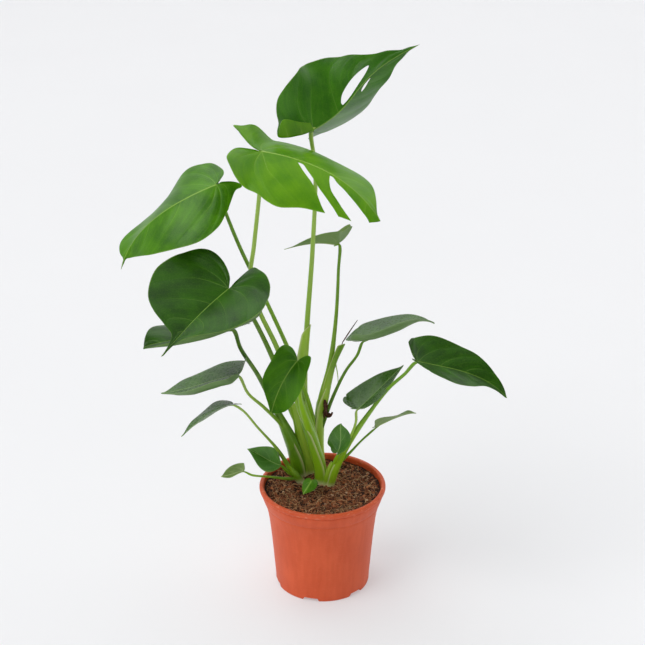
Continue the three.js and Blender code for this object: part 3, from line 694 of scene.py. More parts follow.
def half_grid(leaf, half, starts, columns):
    """along, across, the row's share of the margin and the column's share, each rows by columns."""
    fan, body_starts, body = half
    ends = margin_at(starts, body_starts, body)
    ends[-1] = (1, 0)
    margin = np.vstack([fan, ends])
    root = np.concatenate([np.zeros(len(fan)), starts])[:, None]
    share = (np.linspace(0, 1, columns + 1) ** CROWDING)[None]
    along = root + (margin[:, :1] - root) * share
    across = margin[:, 1:] * share
    steps = steps_along(margin, blade_length(leaf))
    run = np.concatenate([[0], np.cumsum(steps)]) + steps[0]
    row = np.repeat(run[:, None] / run[-1], columns + 1, axis=1)
    return along, across, row, np.repeat(share, len(margin), axis=0)


print("the top leaf's left margin turns back to", margin_line(LEAVES["top"], 1)[:, 0].min().round(3))

# %% [markdown]
# The relief is worked out on the same grid. Between two side veins the sheet swells by up to a millimetre
# and sinks again towards the margin, and the margin itself waves gently. The rib is only on the under
# side, where it runs on from the stalk and thins towards the tip.

# %% Relief and rib
VEIN_SWEEP = 1.15           # how far, in veins, a side vein bends towards the tip on its way out
MARGIN_WAVES = 2.5          # along one half


def vein_phase(row, share, veins):
    """Whole numbers of this phase lie on the side veins."""
    return row * veins - VEIN_SWEEP * share ** 1.8


def vein_gap(leaf, along, across, row, veins):
    """The distance between neighbouring side veins, in millimetres."""
    flat = np.stack([along * blade_length(leaf), across], -1)
    steps = np.linalg.norm(np.gradient(flat, axis=0), axis=-1)
    return steps / np.maximum(np.abs(np.gradient(row, axis=0)), 1e-6) / veins


def swelling(leaf, row, share, phase):
    between = np.abs(np.sin(np.pi * phase)) ** 0.8
    fade = smooth_step(share, 0.02, 0.35) * (1 - 0.6 * smooth_step(share, 0.75, 1.0))
    wave = np.sin(2 * np.pi * (row * MARGIN_WAVES + 0.2)) * share ** 3
    return leaf["puff"] * (between - 0.6) * fade + leaf["wavy"] * wave


def rib_depth(leaf, along, across):
    """The rib's section is half an ellipse, widest and deepest at the stalk."""
    width = leaf["rib"] * (1.6 - 1.1 * np.clip(along, 0, 1))
    profile = np.sqrt(np.clip(1 - (across / np.maximum(width, 0.2)) ** 2, 0, 1))
    return leaf["rib"] * (1 - 0.85 * np.clip(along, 0, 1)) * profile * (along >= 0)


print("half way out a side vein has swept on by", round(-vein_phase(0, 0.5, 1), 2), "of a vein's gap")

# %% [markdown]
# ## Sheets made solid
# A blade, a flap and a sheath are each a thin sheet that gets two faces and a wall along its free edge. The
# wall is easy to find: a free edge is one that no neighbouring face runs along the other way. Points that
# fall together, along the midrib and at the stalk, are merged by their flat coordinates.

# %% From a grid of points to a closed skin
def merged(keys):
    """One number for each different point, and where each number first occurs."""
    _, first, index = np.unique(np.round(keys, 4), axis=0, return_index=True, return_inverse=True)
    return first, index.ravel()


def sheet_grid(rows, columns):
    """Faces of a plain grid of points, row after row."""
    return [[a, a + 1, a + columns + 1, a + columns]
            for a in (row * columns + column for row in range(rows - 1) for column in range(columns - 1))]


def merged_grid(rows, columns, index, flip):
    """Faces of a grid whose points were merged: a corner that occurs twice in a face is dropped."""
    faces = []
    for a, b, c, d in sheet_grid(rows, columns):
        ring = [index[a], index[d], index[c], index[b]]
        face = [corner for spot, corner in enumerate(ring) if corner not in ring[:spot]]
        if len(face) > 2:
            faces.append(face[::-1] if flip else face)
    return faces


def free_edges(faces):
    seen = set()
    for face in faces:
        seen.update(zip(face, face[1:] + face[:1]))
    return [edge for edge in seen if edge[::-1] not in seen]


def sheet_normals(points, faces):
    ring = np.array([face if len(face) == 4 else [*face, face[2]] for face in faces])
    a, b, c, d = (points[ring[:, corner]] for corner in range(4))
    turn = np.cross(c - a, d - b)
    normals = np.zeros_like(points)
    for corner in range(4):
        np.add.at(normals, ring[:, corner], turn)
    return unit(normals)


def closed_skin(faces, count):
    """A sheet's faces, the same for its other side, `count` points on, and a wall along its free edge."""
    below = [[corner + count for corner in face[::-1]] for face in faces]
    walls = [[a, a + count, b + count, b] for a, b in free_edges(faces)]
    return faces + below + walls


def thickened(points, faces, thickness):
    normals = sheet_normals(points, faces)
    solid = np.vstack([points + normals * thickness / 2, points - normals * thickness / 2])
    return solid, closed_skin(faces, len(points))


print("a sheet of 3 by 3 points closes with", len(closed_skin(sheet_grid(3, 3), 9)), "faces")

# %% [markdown]
# Some blades have a margin that curls up and shows its pale under side. There the outer part of each row
# is laid on an arc, about as long as before, that leaves the sheet in the row's own direction.

# %% Curl a margin
CURL_FROM = 0.68            # the share of a row, from the midrib out, where the curl begins
TINY = 1e-9


def curled(points, share, turn):
    """Rows of points whose outer part is laid on an arc that turns up by `turn` degrees."""
    first = int(np.searchsorted(share[0], CURL_FROM))
    base = points[:, first:first + 1]
    out = unit(base - points[:, first - 1:first] + TINY)
    up = unit(np.cross(np.gradient(base, axis=0) + TINY, out))
    up = up * np.sign(up[..., 2:])
    reach = np.linalg.norm(points[:, -1:] - base, axis=-1, keepdims=True)
    angle = math.radians(turn) * ((share[:, first:] - CURL_FROM) / (1 - CURL_FROM))[..., None]
    radius = reach / math.radians(turn)
    points[:, first:] = base + out * radius * np.sin(angle) + up * radius * (1 - np.cos(angle))
    return points


print("curled leaves:", [name for name, leaf in LEAVES.items() if "curl" in leaf])

# %% [markdown]
# The two faces of a blade share one layout: the sheet's points, moved out along its normal and in along it.
# Three UV maps carry what the finish needs: "vein" says how far along the row of side veins a point is and
# how wide the gap between two of them is there, "flat" where it lies on the flat leaf, and "edge" how near
# it is to the margin.

# %% Build a blade
BLADE_THICKNESS = 0.7
MARGIN_THICKNESS = 0.3
MARGIN_FROM = 0.86          # the share of a row where the blade begins to thin
FAN_SHARE = 0.42            # of a blade's rows
UV_MM = 100                 # millimetres in one unit of a UV map


def blade_sheet(leaf):
    """The blade as one sheet, with what each point needs for thickness and finish."""
    rows = leaf["rows"]
    veins = leaf["veins"]
    columns = leaf["columns"]
    fan_rows = int(rows * FAN_SHARE)
    length = blade_length(leaf)
    halves = [laid_out(leaf, side, fan_rows) for side in (1, -1)]
    starts = shared_starts(halves, length, rows - fan_rows)
    points, keys, traits, faces = [], [], [], []
    for side, half in zip((1, -1), halves):
        along, across, row, share = half_grid(leaf, half, starts, columns)
        phase = vein_phase(row, share, veins)
        gap = vein_gap(leaf, along, across, row, veins)
        rise = swelling(leaf, row, share, phase)
        rib = rib_depth(leaf, along, across)
        grid = on_blade(leaf, side, along, across)
        turn = leaf.get("curl", (0, 0))[half_of(side)]
        points.append((curled(grid, share, turn) if turn else grid).reshape(-1, 3))
        keys.append(np.stack([along, side * across / UV_MM], -1).reshape(-1, 2))
        values = [phase, gap, along * length, side * across, share, rise, rib]
        traits.append(np.stack(values, -1).reshape(-1, len(values)))
    first, index = merged(np.vstack(keys))
    for own, flip in zip(np.split(index, 2), (False, True)):
        faces += merged_grid(rows, columns + 1, own, flip)
    return np.vstack(points)[first], faces, np.vstack(traits)[first]


def blade_piece(name, leaf, upper, under):
    points, faces, traits = blade_sheet(leaf)
    phase, gap, along, across, share, rise, rib = traits.T
    normals = sheet_normals(points, faces)
    thin = smooth_step(share, MARGIN_FROM, 1.0)
    half_thick = (BLADE_THICKNESS + (MARGIN_THICKNESS - BLADE_THICKNESS) * thin)[:, None] / 2
    middle = points + normals * rise[:, None]
    top = middle + normals * half_thick
    bottom = middle - normals * (half_thick + rib[:, None])
    skin = closed_skin(faces, len(points))
    face_finish = np.zeros(len(skin), int)
    face_finish[len(faces):2 * len(faces)] = 1
    flat = (along / UV_MM, across / UV_MM)
    pairs = {"vein": (phase, gap / UV_MM), "flat": flat, "edge": (share, 0 * share)}
    uv_maps = {key: np.tile(np.stack(pair, 1), (2, 1)) for key, pair in pairs.items()}
    return mesh_piece("leaf_" + name, np.vstack([top, bottom]), skin, [upper, under], face_finish, uv_maps)


print("blades", BLADE_THICKNESS, "mm thick and", MARGIN_THICKNESS, "mm at the margin")

# %% [markdown]
# A window's cutter is the window's own outline carried onto the bent blade and made thick, so that its
# walls stand square to the sheet. The outline is smoothed first. The Boolean runs once and its result
# replaces the mesh, so no modifier is left on the leaf.

# %% Cut the windows
WINDOW_REACH = 5.0
POINTS_A_CORNER = 8         # of a window's smoothed outline


def window_cutter(leaf, side, outline):
    length = blade_length(leaf)
    ring = smooth_line([*outline, outline[0]], POINTS_A_CORNER * len(outline), centripetal=False)[:-1]
    corners = [Vector((along * length, across)) for along, across in ring]
    loop = [list(range(len(corners)))]
    flat, _, triangles, *_ = delaunay_2d_cdt(corners, [], loop, 1, 1e-5)
    flat = np.array([tuple(corner) for corner in flat])
    points = on_blade(leaf, side, flat[:, 0] / length, flat[:, 1])
    faces = [list(face) if side > 0 else list(face)[::-1] for face in triangles]
    solid, skin = thickened(points, faces, 2 * WINDOW_REACH)
    plain = np.tile([0.5, 1.0], (len(solid), 1))
    uv_maps = {"vein": plain, "flat": plain, "edge": plain}
    return mesh_piece("window_cutter", solid, skin, [], None, uv_maps)


def cut(piece, cutter):
    change = piece.modifiers.new("window", "BOOLEAN")
    change.operation = "DIFFERENCE"
    change.solver = "EXACT"
    change.object = cutter
    shown = piece.evaluated_get(bpy.context.evaluated_depsgraph_get())
    mesh = bpy.data.meshes.new_from_object(shown)
    piece.modifiers.clear()
    piece.data = mesh
    mesh.set_sharp_from_angle(angle=SHARP_EDGE)
    bpy.data.objects.remove(cutter)


print(sum(len(leaf.get("windows", [])) for leaf in LEAVES.values()), "windows and slits to cut")

# %% [markdown]
# ## Leaf finishes
# A monstera leaf is waxy and dark above, with pale thin veins, soft mottling along them and a fine pale
# margin. The veins could be painted as an image, but they have to sit on the relief, so they are drawn
# from the same UV maps: a side vein is where the phase is near a whole number, and the gap between two
# veins turns that into millimetres.

# %% Draw the veins and the midrib
def off_vein(phase):
    """0 on a side vein, 0.5 half way to the next."""
    return ((phase + 0.5).fraction() - 0.5).size()


def vein_lines(finish, width):
    """1 on the side veins, which start `width` millimetres wide and thin out on their way."""
    phase, gap = finish.uv("vein")
    share, _ = finish.uv("edge")
    reach = width * (1 - 0.7 * share)
    return (off_vein(phase) * (gap * UV_MM) / reach).below(0.35, 1.0) * share.below(0.35, 0.92)


def midrib_line(finish, width):
    along, across = finish.uv("flat")
    reach = width * (1.25 - 0.6 * along).at_least(0.3)
    return ((across * UV_MM).size() / reach).below(0.45, 1.0) * (along * UV_MM).above(-3.0, 1.0)


print("veins are drawn on the relief's own maps")

# %% [markdown]
# The upper face mixes a glossy shader with a translucent one, because light shines through a leaf. Its tone
# varies in clouds, in rays that run out with the veins and in a fine mottle. A net of tiny veins and a
# grained skin are too small for the mesh, so they are a Voronoi pattern and a bump. The under face has the
# same makings, paler and duller, with stronger veins.

# %% One face of a leaf
CLOUDS = 28                 # sizes in millimetres
MOTTLE = 3.5
NET = 2.6
SKIN = 0.5
RELIEF = 0.5


def leaf_face(name, deep, light, vein, glow, gloss, through, shine=0.34, under=False):
    finish = Finish(name)
    here = finish.place()
    phase, _ = finish.uv("vein")
    share, _ = finish.uv("edge")
    vein_width, rib_width, vein_share = (0.8, 1.7, 0.6) if under else (0.55, 1.0, 0.38)
    clouds = finish.noise(here, CLOUDS, detail=3)
    mottle = finish.noise(here, MOTTLE, detail=2)
    rays = finish.streaks(phase * 9, share * 1.4)
    near_vein = off_vein(phase).below(0.0, 0.34)
    tone = clouds.above(0.32, 0.68) * 0.5 + near_vein * 0.15 + mottle * 0.1 + rays.above(0.35, 0.7) * 0.25
    veins = vein_lines(finish, vein_width)
    rib = midrib_line(finish, rib_width)
    cell_settings = {"feature": "DISTANCE_TO_EDGE"}
    cells = finish.node("ShaderNodeTexVoronoi", cell_settings, {"Vector": here, "Scale": 1 / NET})
    net = cells.below(0.02, 0.10) * 0.10
    rim = share.above(0.975, 1.0) * 0.5
    lines = (veins * vein_share).at_least(rib * 0.7)
    colour = finish.mix(lines.at_least(net).at_least(rim), finish.mix(tone, deep, light), vein)
    skin = finish.noise(here, SKIN, detail=1) * 0.5 + cells.above(0.0, 0.25) * 0.5
    carved = veins * 0.4 if under else 0.0 - veins * 0.25 - rib * 0.3
    height = carved + skin * 0.05 + rays * 0.55
    rough = gloss + mottle * 0.12 + lines * 0.1
    waxy = finish.shader(
        Base_Color=colour, Roughness=rough, Normal=finish.bump(height, RELIEF), Specular_IOR_Level=shine,
    )
    lit = finish.node("ShaderNodeBsdfTranslucent", None, {"Color": glow})
    share_through = through * (1 - lines * 0.7)
    return finish.done(finish.node("ShaderNodeMixShader", None, {0: share_through, 1: waxy, 2: lit}))


print("net of veins", NET, "mm wide on a skin with a grain of", SKIN, "mm")

# %% [markdown]
# A plant carries leaves of several ages. Young ones are bright and let much light through, and old ones are
# dark and dull. Leaves seen edge-on get a pale grey-green, a painted sheen that stands for the bright back
# mirrored in them. `deep` and `light` are the body's two greens, `vein` the veins' colour and `glow` that
# of the light that comes through.

# %% The leaves' ages
LEAF_AGES = {
    "old": dict(deep=srgb(26, 60, 6), light=srgb(54, 102, 12), vein=srgb(130, 168, 66),
                glow=srgb(90, 160, 6), gloss=0.26, through=0.13, shine=0.2),
    "glossy": dict(deep=srgb(40, 78, 20), light=srgb(78, 120, 42), vein=srgb(150, 185, 100),
                   glow=srgb(100, 170, 10), gloss=0.22, through=0.14, shine=0.55),
    "grown": dict(deep=srgb(46, 94, 6), light=srgb(92, 152, 14), vein=srgb(156, 194, 80),
                  glow=srgb(115, 195, 6), gloss=0.27, through=0.24, shine=0.27),
    "tall": dict(deep=srgb(38, 86, 10), light=srgb(72, 128, 20), vein=srgb(140, 178, 78),
                 glow=srgb(110, 190, 8), gloss=0.25, through=0.24),
    "young": dict(deep=srgb(72, 124, 8), light=srgb(118, 168, 16), vein=srgb(172, 204, 84),
                  glow=srgb(160, 225, 4), gloss=0.28, through=0.36),
    "fresh": dict(deep=srgb(56, 104, 30), light=srgb(100, 152, 58), vein=srgb(160, 196, 110),
                  glow=srgb(120, 195, 20), gloss=0.25, through=0.2, shine=0.45),
    # A pale grey-green base colour that paints in the sheen of leaves seen edge-on against the bright back.
    "silvery": dict(deep=srgb(92, 120, 52), light=srgb(148, 170, 100), vein=srgb(176, 196, 130),
                    glow=srgb(130, 190, 40), gloss=0.34, through=0.25),
}
UNDER_GREEN = srgb(120, 150, 92)
UNDER_PALER = 0.55          # how far an under side's greens go towards UNDER_GREEN
UNDER_GLOSS = 0.36


def under_colours(age):
    """The same leaf seen from below."""
    paler = {}
    for key in ("deep", "light"):
        paler[key] = tuple(a + (b - a) * UNDER_PALER for a, b in zip(age[key], UNDER_GREEN))
    return {**age, **paler, "gloss": UNDER_GLOSS}


leaf_faces = {}
for age_name, age in LEAF_AGES.items():
    leaf_faces[age_name] = (
        leaf_face("leaf_upper_" + age_name, **age),
        leaf_face("leaf_under_" + age_name, **under_colours(age), under=True),
    )
print(len(leaf_faces), "leaf ages, each with an upper and an under face")

# %% [markdown]
# ## Make the leaves
# Large leaves get more rows, more side veins and a deeper relief than small ones. Each leaf replaces its
# CAD node and has the finish of its age.

# %% Grow every leaf
USUAL_LENGTH = 150          # millimetres: the numbers below are those of a blade this long
LEAF_AGE = {
    "top": "tall", "arching": "young", "long_left": "grown", "heart": "old", "under_heart": "old",
    "mid_left": "glossy", "narrow_left": "glossy", "low_left": "fresh", "rim_left": "silvery",
    "sprout": "grown", "front": "grown", "upper_right": "glossy", "far_right": "old",
    "mid_right": "glossy", "short_right": "fresh", "curled_right": "silvery", "back": "silvery",
}
LEAF_SLOT = {
    "old": "leaf_dark", "glossy": "leaf_dark", "tall": "leaf_dark",
    "grown": "leaf_mid", "fresh": "leaf_mid", "silvery": "leaf_mid", "young": "leaf_bright",
}

for name, leaf in LEAVES.items():
    large = blade_length(leaf) / USUAL_LENGTH
    leaf["rows"] = int(np.clip(110 * large, 40, 120))
    leaf["columns"] = int(np.clip(34 * large, 12, 34))
    leaf["veins"] = int(np.clip(round(4 + 3 * large), 4, 7))
    leaf["puff"] = 0.55 * large
    leaf["wavy"] = 1.6 * large
    leaf["rib"] = 0.35 + 1.1 * large
    piece = blade_piece(name, leaf, *leaf_faces[LEAF_AGE[name]])
    for side, outline in leaf.get("windows", []):
        cut(piece, window_cutter(leaf, side, outline))
    seat(piece, LEAF_SLOT[LEAF_AGE[name]], "blade_" + name)

# %% [markdown]
# One lobe of the top leaf is folded forward, up over the leaf's own face, so its light underside shows. The
# fold starts on the lobe's lower margin, so the flap is a sheet that leaves that margin in a tight roll and
# then rises in front of the leaf, leaning out a little. A few heights give its rounded upper edge.

# %% Fold the top leaf's lobe forward
FLAP_HEIGHTS = (8, 11, 15, 19, 20, 12, 0.3)      # millimetres, from the stalk outward
FLAP_ROWS = 30
FLAP_COLUMNS = 14
FLAP_ROLL = 1.8             # the roll's radius, in millimetres
ROLL_SHARE = 0.3            # of the flap's columns
FLAP_LEAN = 0.45
CREASE_INSET = 1.0          # how far inside the margin the flap starts
INSIDE = 6.0                # a little further in, which gives the way up


def flap_mesh(leaf):
    margin = margin_line(leaf, 1)
    lowest = margin[: margin[:, 0].argmin() + 1]
    flat_size = [blade_length(leaf), 1]
    along, across = (evenly(lowest * flat_size, FLAP_ROWS) / flat_size).T
    crease = on_blade(leaf, 1, along, across + CREASE_INSET)
    inside = on_blade(leaf, 1, along, across + INSIDE)
    upward = unit((inside - crease).mean(axis=0, keepdims=True))
    outward = unit(np.cross(np.gradient(crease, axis=0), upward).mean(axis=0, keepdims=True))
    outward = outward * np.sign(-outward[:, 1:2])
    share = np.linspace(0, 1, FLAP_COLUMNS)
    roll = np.clip(share / ROLL_SHARE, 0, 1) * math.pi
    heights = smooth_line(np.array(FLAP_HEIGHTS, float)[:, None], FLAP_ROWS, centripetal=False)
    rise = np.clip((share - ROLL_SHARE) / (1 - ROLL_SHARE), 0, 1) * heights
    forward = FLAP_ROLL * (1 - np.cos(roll)) + FLAP_LEAN * rise
    climb = rise - FLAP_ROLL * np.sin(roll)
    points = crease[:, None] + upward[:, None] * climb[..., None] + outward[:, None] * forward[..., None]
    phase = np.linspace(0, 2.6, FLAP_ROWS)[:, None] + 0.3 * share
    pairs = {"vein": (phase, 0.08), "flat": (1.0 + 0 * phase, 1.0), "edge": (share + 0 * phase, 0.0)}
    maps = {key: np.stack(np.broadcast_arrays(*pair), -1).reshape(-1, 2) for key, pair in pairs.items()}
    return points.reshape(-1, 3), maps


flap_points, flap_maps = flap_mesh(LEAVES["top"])
flap_solid, flap_skin = thickened(flap_points, sheet_grid(FLAP_ROWS, FLAP_COLUMNS), BLADE_THICKNESS)
flap_maps = {key: np.tile(pairs, (2, 1)) for key, pairs in flap_maps.items()}
flap = mesh_piece("leaf_top_flap", flap_solid, flap_skin, [leaf_faces["young"][0]], None, flap_maps)
seat(flap, "leaf_dark", "blade_top")
print("flap from z", round(flap_points[:, 2].min(), 1), "to", round(flap_points[:, 2].max(), 1))

# %% [markdown]
# ## Stalks
# A monstera's leaf stalk is round and thick at its foot and thins upwards, with a slightly swollen joint
# below the blade, and it runs on into the midrib's rib underneath. A tube that follows a smooth line does
# this well: at each step a ring of points stands square to the line, and the frame is carried along
# without twisting. Angle 0 of the first ring faces the front, so a groove or a sheath can be turned to
# where the photograph shows it.

# %% A tube along a line
STALK_SIDES = 20
FRONT = np.array([0.0, -1.0, 0.0])


def frames_along(line):
    """At each point of a line: the way angle 0 faces, and the way angle 90 faces."""
    run = unit(np.gradient(line, axis=0))
    facing = np.empty_like(run)
    front = FRONT
    for spot, way in enumerate(run):
        front = front - way * (front @ way)
        front = front / np.linalg.norm(front)
        facing[spot] = front
    return facing, np.cross(run, facing)


def around(line, angle, reach):
    """Points round a line: for each of its points, a row of angles and how far out each lies."""
    facing, across = frames_along(line)
    ring = facing[:, None] * np.cos(angle)[..., None] + across[:, None] * np.sin(angle)[..., None]
    return (line[:, None] + ring * reach[..., None]).reshape(-1, 3)


def along_radii(radii, count):
    """The radii spread evenly from the foot to the top, smoothly joined."""
    return smooth_line(np.array(radii, float)[:, None], count, centripetal=False)[:, 0]


def tube_mesh(line, radius, sides=STALK_SIDES, shape=None):
    """Rings along the line, closed at both ends. shape(turn, share) scales the radius."""
    turns = circle(sides)[None]
    share = np.linspace(0, 1, len(line))[:, None]
    reach = np.repeat(radius[:, None], sides, axis=1)
    if shape is not None:
        reach = reach * shape(turns, share)
    points = around(line, turns, reach)
    uv = np.stack(np.broadcast_arrays(share, turns / (2 * math.pi)), -1).reshape(-1, 2)
    last = (len(line) - 1) * sides
    caps = [list(range(sides))[::-1], list(range(last, last + sides))]
    return points, between_rings(len(line), sides) + caps, uv


print("stalks have", STALK_SIDES, "sides")

# %% [markdown]
# ## The stalks' paths
# Seven bases stand in the soil, and each carries the stalks of one young plant. A path starts at its base
# or on the stalk that it grows from, and ends at its blade. These are the CAD model's own paths and radii,
# from the foot to the top, and a foot reaches a little further down into the soil here. Each entry gives
# the base, the radii, the greens at the foot and at the top, and the path.

# %% The stalks
STALKS = {
    # The deep green at the tops of the under_heart and heart stalks is painted shade from the leaves above
    # them.
    "under_heart": ("left", (10, 9.4, 5, 3.2, 2.8, 2.5), ("leafy", "deep"), [
        (-30, 41, 132), (-30, 41, 141), (-34, 38, 165), (-43, 34, 196), (-59, 27, 239), (-85, 11, 306),
        (-106, -6, 353)]),
    "heart": ("left", (5, 4.4, 3.4, 2.8, 2.4), ("bright", "deep"), [
        (-29, 42, 165), (-30, 42, 205), (-43, 37, 244), (-65, 18, 326), (-87, -2, 390), (-97, -25, 420)]),
    "mid_left": ("left", (3, 2.3, 1.8), ("leafy", "pale"), [
        (-40, 36, 182), (-54, 26, 221), (-77, 6, 260), (-97, -18, 294)]),
    "arching": ("middle", (8, 7.6, 4, 3.3, 3, 2.8, 2.6, 2.5), ("bright", "pale"), [
        (-1, 20, 132), (-1, 20, 141), (-3, 20, 162), (-11, 18, 195), (-28, 15, 250), (-59, 11, 345),
        (-84, 8, 407), (-92, 0, 450), (-86, -12, 502), (-77, -19, 585)]),
    "front": ("middle", (6, 3, 2.2), ("bright", "bright"), [
        (-17, 17, 218), (-29, -10, 280), (-30, -33, 325)]),
    "top": ("tall", (6, 5, 4, 3.4, 3, 2.7, 2.6), ("bright", "pale"), [
        (-16, 56, 132), (-16, 56, 141), (-21, 56, 175), (-26, 54, 239), (-25, 52, 285), (-20, 50, 368),
        (-13, 51, 467), (-9, 56, 576)]),
    "back": ("back", (7.5, 6.6, 5.2, 3, 2.2, 2), ("lime", "leafy"), [
        (-3, 50, 132), (-3, 50, 141), (-6, 49, 178), (-2, 49, 242), (10, 51, 299), (18, 57, 370),
        (21, 69, 431)]),
    "long_left": ("back", (3.4, 3, 2.7, 2.5, 2.2), ("bright", "leafy"), [
        (-6, 48, 170), (-15, 41, 234), (-36, 30, 310), (-69, 21, 399), (-105, 15, 486), (-124, 11, 542)]),
    "upper_right": ("back", (3, 2.4, 2, 1.8), ("deep", "leafy"), [
        (-2, 47, 205), (14, 42, 257), (31, 37, 299), (46, 32, 325)]),
    "far_right": ("right", (4.8, 5.6, 4, 2.6, 2.3, 2.1), ("bright", "leafy"), [
        (10, 11, 132), (10, 11, 141), (16, 8, 167), (30, 2, 201), (56, -8, 251), (86, -21, 303),
        (106, -31, 329)]),
    "mid_right": ("right", (3, 2, 1.7, 1.6), ("bright", "pale"), [
        (20, 5, 176), (25, 3, 192), (37, -5, 222), (44, -12, 248)]),
    "short_right": ("right", (2.6, 1.6), ("bright", "bright"), [
        (15, 8, 168), (18, 0, 183)]),
    "curled_right": ("right", (2.6, 1.5, 1.4), ("leafy", "leafy"), [
        (18, 8, 170), (36, 11, 188), (53, 15, 206)]),
    "narrow_left": ("seedling_left", (4.6, 3, 1.8, 1.6, 1.5), ("leafy", "pale"), [
        (-31, 20, 132), (-31, 20, 141), (-45, 16, 164), (-61, 4, 199), (-85, -18, 243), (-103, -38, 279)]),
    "low_left": ("seedling_left", (3, 1.6), ("leafy", "leafy"), [
        (-34, 18, 147), (-44, 13, 156)]),
    "rim_left": ("seedling_left", (2.6, 1.5, 1.4), ("leafy", "bright"), [
        (-33, 17, 146), (-46, 12, 148), (-71, 5, 155), (-95, 1, 160)]),
    "sprout": ("seedling_front", (1.6, 1.3), ("bright", "bright"), [
        (-12, -4, 134), (-12, -4, 141), (-13, -9, 152)]),
}
print(len(STALKS), "stalks from", len({base for base, *_ in STALKS.values()}), "bases")

# %% [markdown]
# ## Stalk finish
# A stalk is smooth and softly glossy, with fine lengthwise fibres. It is cream-coloured only where it
# leaves the soil, and its green changes slowly from the foot to the top. The deep green at the tops of the
# under_heart and heart stalks, which run under the leaves, is painted shade. The height gives the cream
# foot, and the tube's own map gives the two greens and the fibres. An open sheath has the same finish with
# a pale, thin edge.

# %% Make stalk finishes
GREENS = {
    "deep": srgb(64, 104, 10), "leafy": srgb(96, 142, 18), "bright": srgb(130, 176, 28),
    "lime": srgb(158, 194, 62), "pale": srgb(152, 184, 82),
}
CREAM = srgb(226, 222, 170)
CREAM_TO = (138, 148)       # heights between which the cream foot turns green
STAIN = srgb(130, 92, 50)
STAINS_TO = (141, 156)


def stalk_face(name, low, high, edge):
    finish = Finish(name)
    here = finish.place()
    height = finish.axis(here, "Z")
    share, turn = finish.uv("stalk")
    fibres = finish.streaks(share * 5, turn * 44)
    clouds = finish.noise(here, 12, detail=3)
    green = finish.mix(share.above(0.05, 0.9), low, high)
    streaks = fibres.above(0.45, 0.8) * 0.30 + clouds.above(0.4, 0.8) * 0.2
    streaky = finish.mix(streaks, green, GREENS["lime"])
    foot = finish.mix(height.below(*CREAM_TO) * 0.8, streaky, CREAM)
    stains = finish.noise(here, 2.2, detail=3).above(0.60, 0.70) * height.below(*STAINS_TO) * 0.8
    colour = finish.mix(stains, foot, STAIN)
    if edge:
        thin_edge = (turn * 2 - 1).size().above(0.80, 1.0)
        colour = finish.mix(thin_edge * 0.55, colour, CREAM)
    rough = 0.24 + fibres * 0.16
    bump = finish.bump(fibres * 0.6 + clouds * 0.4, 0.3)
    return finish.done(finish.shader(
        Base_Color=colour, Roughness=rough, Normal=bump, Specular_IOR_Level=0.4,
    ))


stalk_faces = {}


def stalk_finish(low, high, edge=False):
    """Each pair of greens is made once."""
    name = "stalk_" + low + "_" + high + ("_edged" if edge else "")
    if name not in stalk_faces:
        stalk_faces[name] = stalk_face(name, GREENS[low], GREENS[high], edge)
    return stalk_faces[name]


print(len(GREENS), "greens, whose pairs are made into finishes as they are needed")

# %% [markdown]
# ## Make the stalks
# Each path is carried on to its blade: to just under the point where the blade begins, and then a little
# way along the rib, into which it thins. The joint below the blade swells a little.

# %% Grow every stalk
STALK_STEP = 2.5            # millimetres between rings
JOINT_LENGTH = 22.0         # the swollen joint below a blade
JOINT_SWELL = 0.12
RUN_IN = 9.0                # how far a stalk runs on under its blade, where its top is this thick:
RUN_IN_RADIUS = 2.4
THIN_END = 0.25             # the share of its radius that a stalk keeps at its very end


def stalk_line(leaf, top, path):
    """The whole line of a stalk whose radius is `top` at its leaf, and its length."""
    base = on_blade(leaf, 1, 0.0, 0.0)
    ahead = unit(on_blade(leaf, 1, 0.06, 0.0) - base)
    left = on_blade(leaf, 1, 0.03, 2.0) - on_blade(leaf, -1, 0.03, 2.0)
    under = -unit(np.cross(ahead, left))
    run_in = ahead * RUN_IN * top / RUN_IN_RADIUS
    path = [*path, base + under * top * 0.9, base + run_in + under * top * 0.6]
    line = smooth_line(path, 60 * len(path))
    length = np.linalg.norm(np.diff(line, axis=0), axis=1).sum()
    return evenly(line, max(8, int(length / STALK_STEP))), length


for name, (base, radii, greens, path) in STALKS.items():
    line, length = stalk_line(LEAVES[name], radii[-1], path)
    radius = along_radii(radii, len(line))
    to_end = length * (1 - np.linspace(0, 1, len(line)))
    joint = np.exp(-((to_end - JOINT_LENGTH * 0.7) / (JOINT_LENGTH * 0.45)) ** 2)
    run_in = smooth_step(to_end, -4, RUN_IN * 1.6)
    radius = radius * (1 + JOINT_SWELL * joint) * (THIN_END + (1 - THIN_END) * run_in)
    points, faces, uv = tube_mesh(line, radius)
    piece = mesh_piece("stalk_" + name, points, faces, [stalk_finish(*greens)], None, {"stalk": uv})
    seat(piece, "stalk_green", "stem_" + base)
print(len(STALKS), "stalks in", len(stalk_faces), "finishes")

# %% [markdown]
# ## Sheaths
# At its foot each stalk is a sheath that wrapped the next leaf while it grew. The sheath is open along one
# side, with thin pale edges that stand out a little, and it ends in a point or a rounded shoulder. It is
# made as a curved sheet round the stalk's own line: for each step up the line, an arc that faces one way,
# reaches some angle to both sides, and closes to a point at the top. Each entry of the table gives the
# base, the greens at the foot and at the top, and the sheath's shape.

# %% Make the sheaths
SHEATH_THICKNESS = 0.9
SHEATH_ROWS = 46
SHEATH_COLUMNS = 22


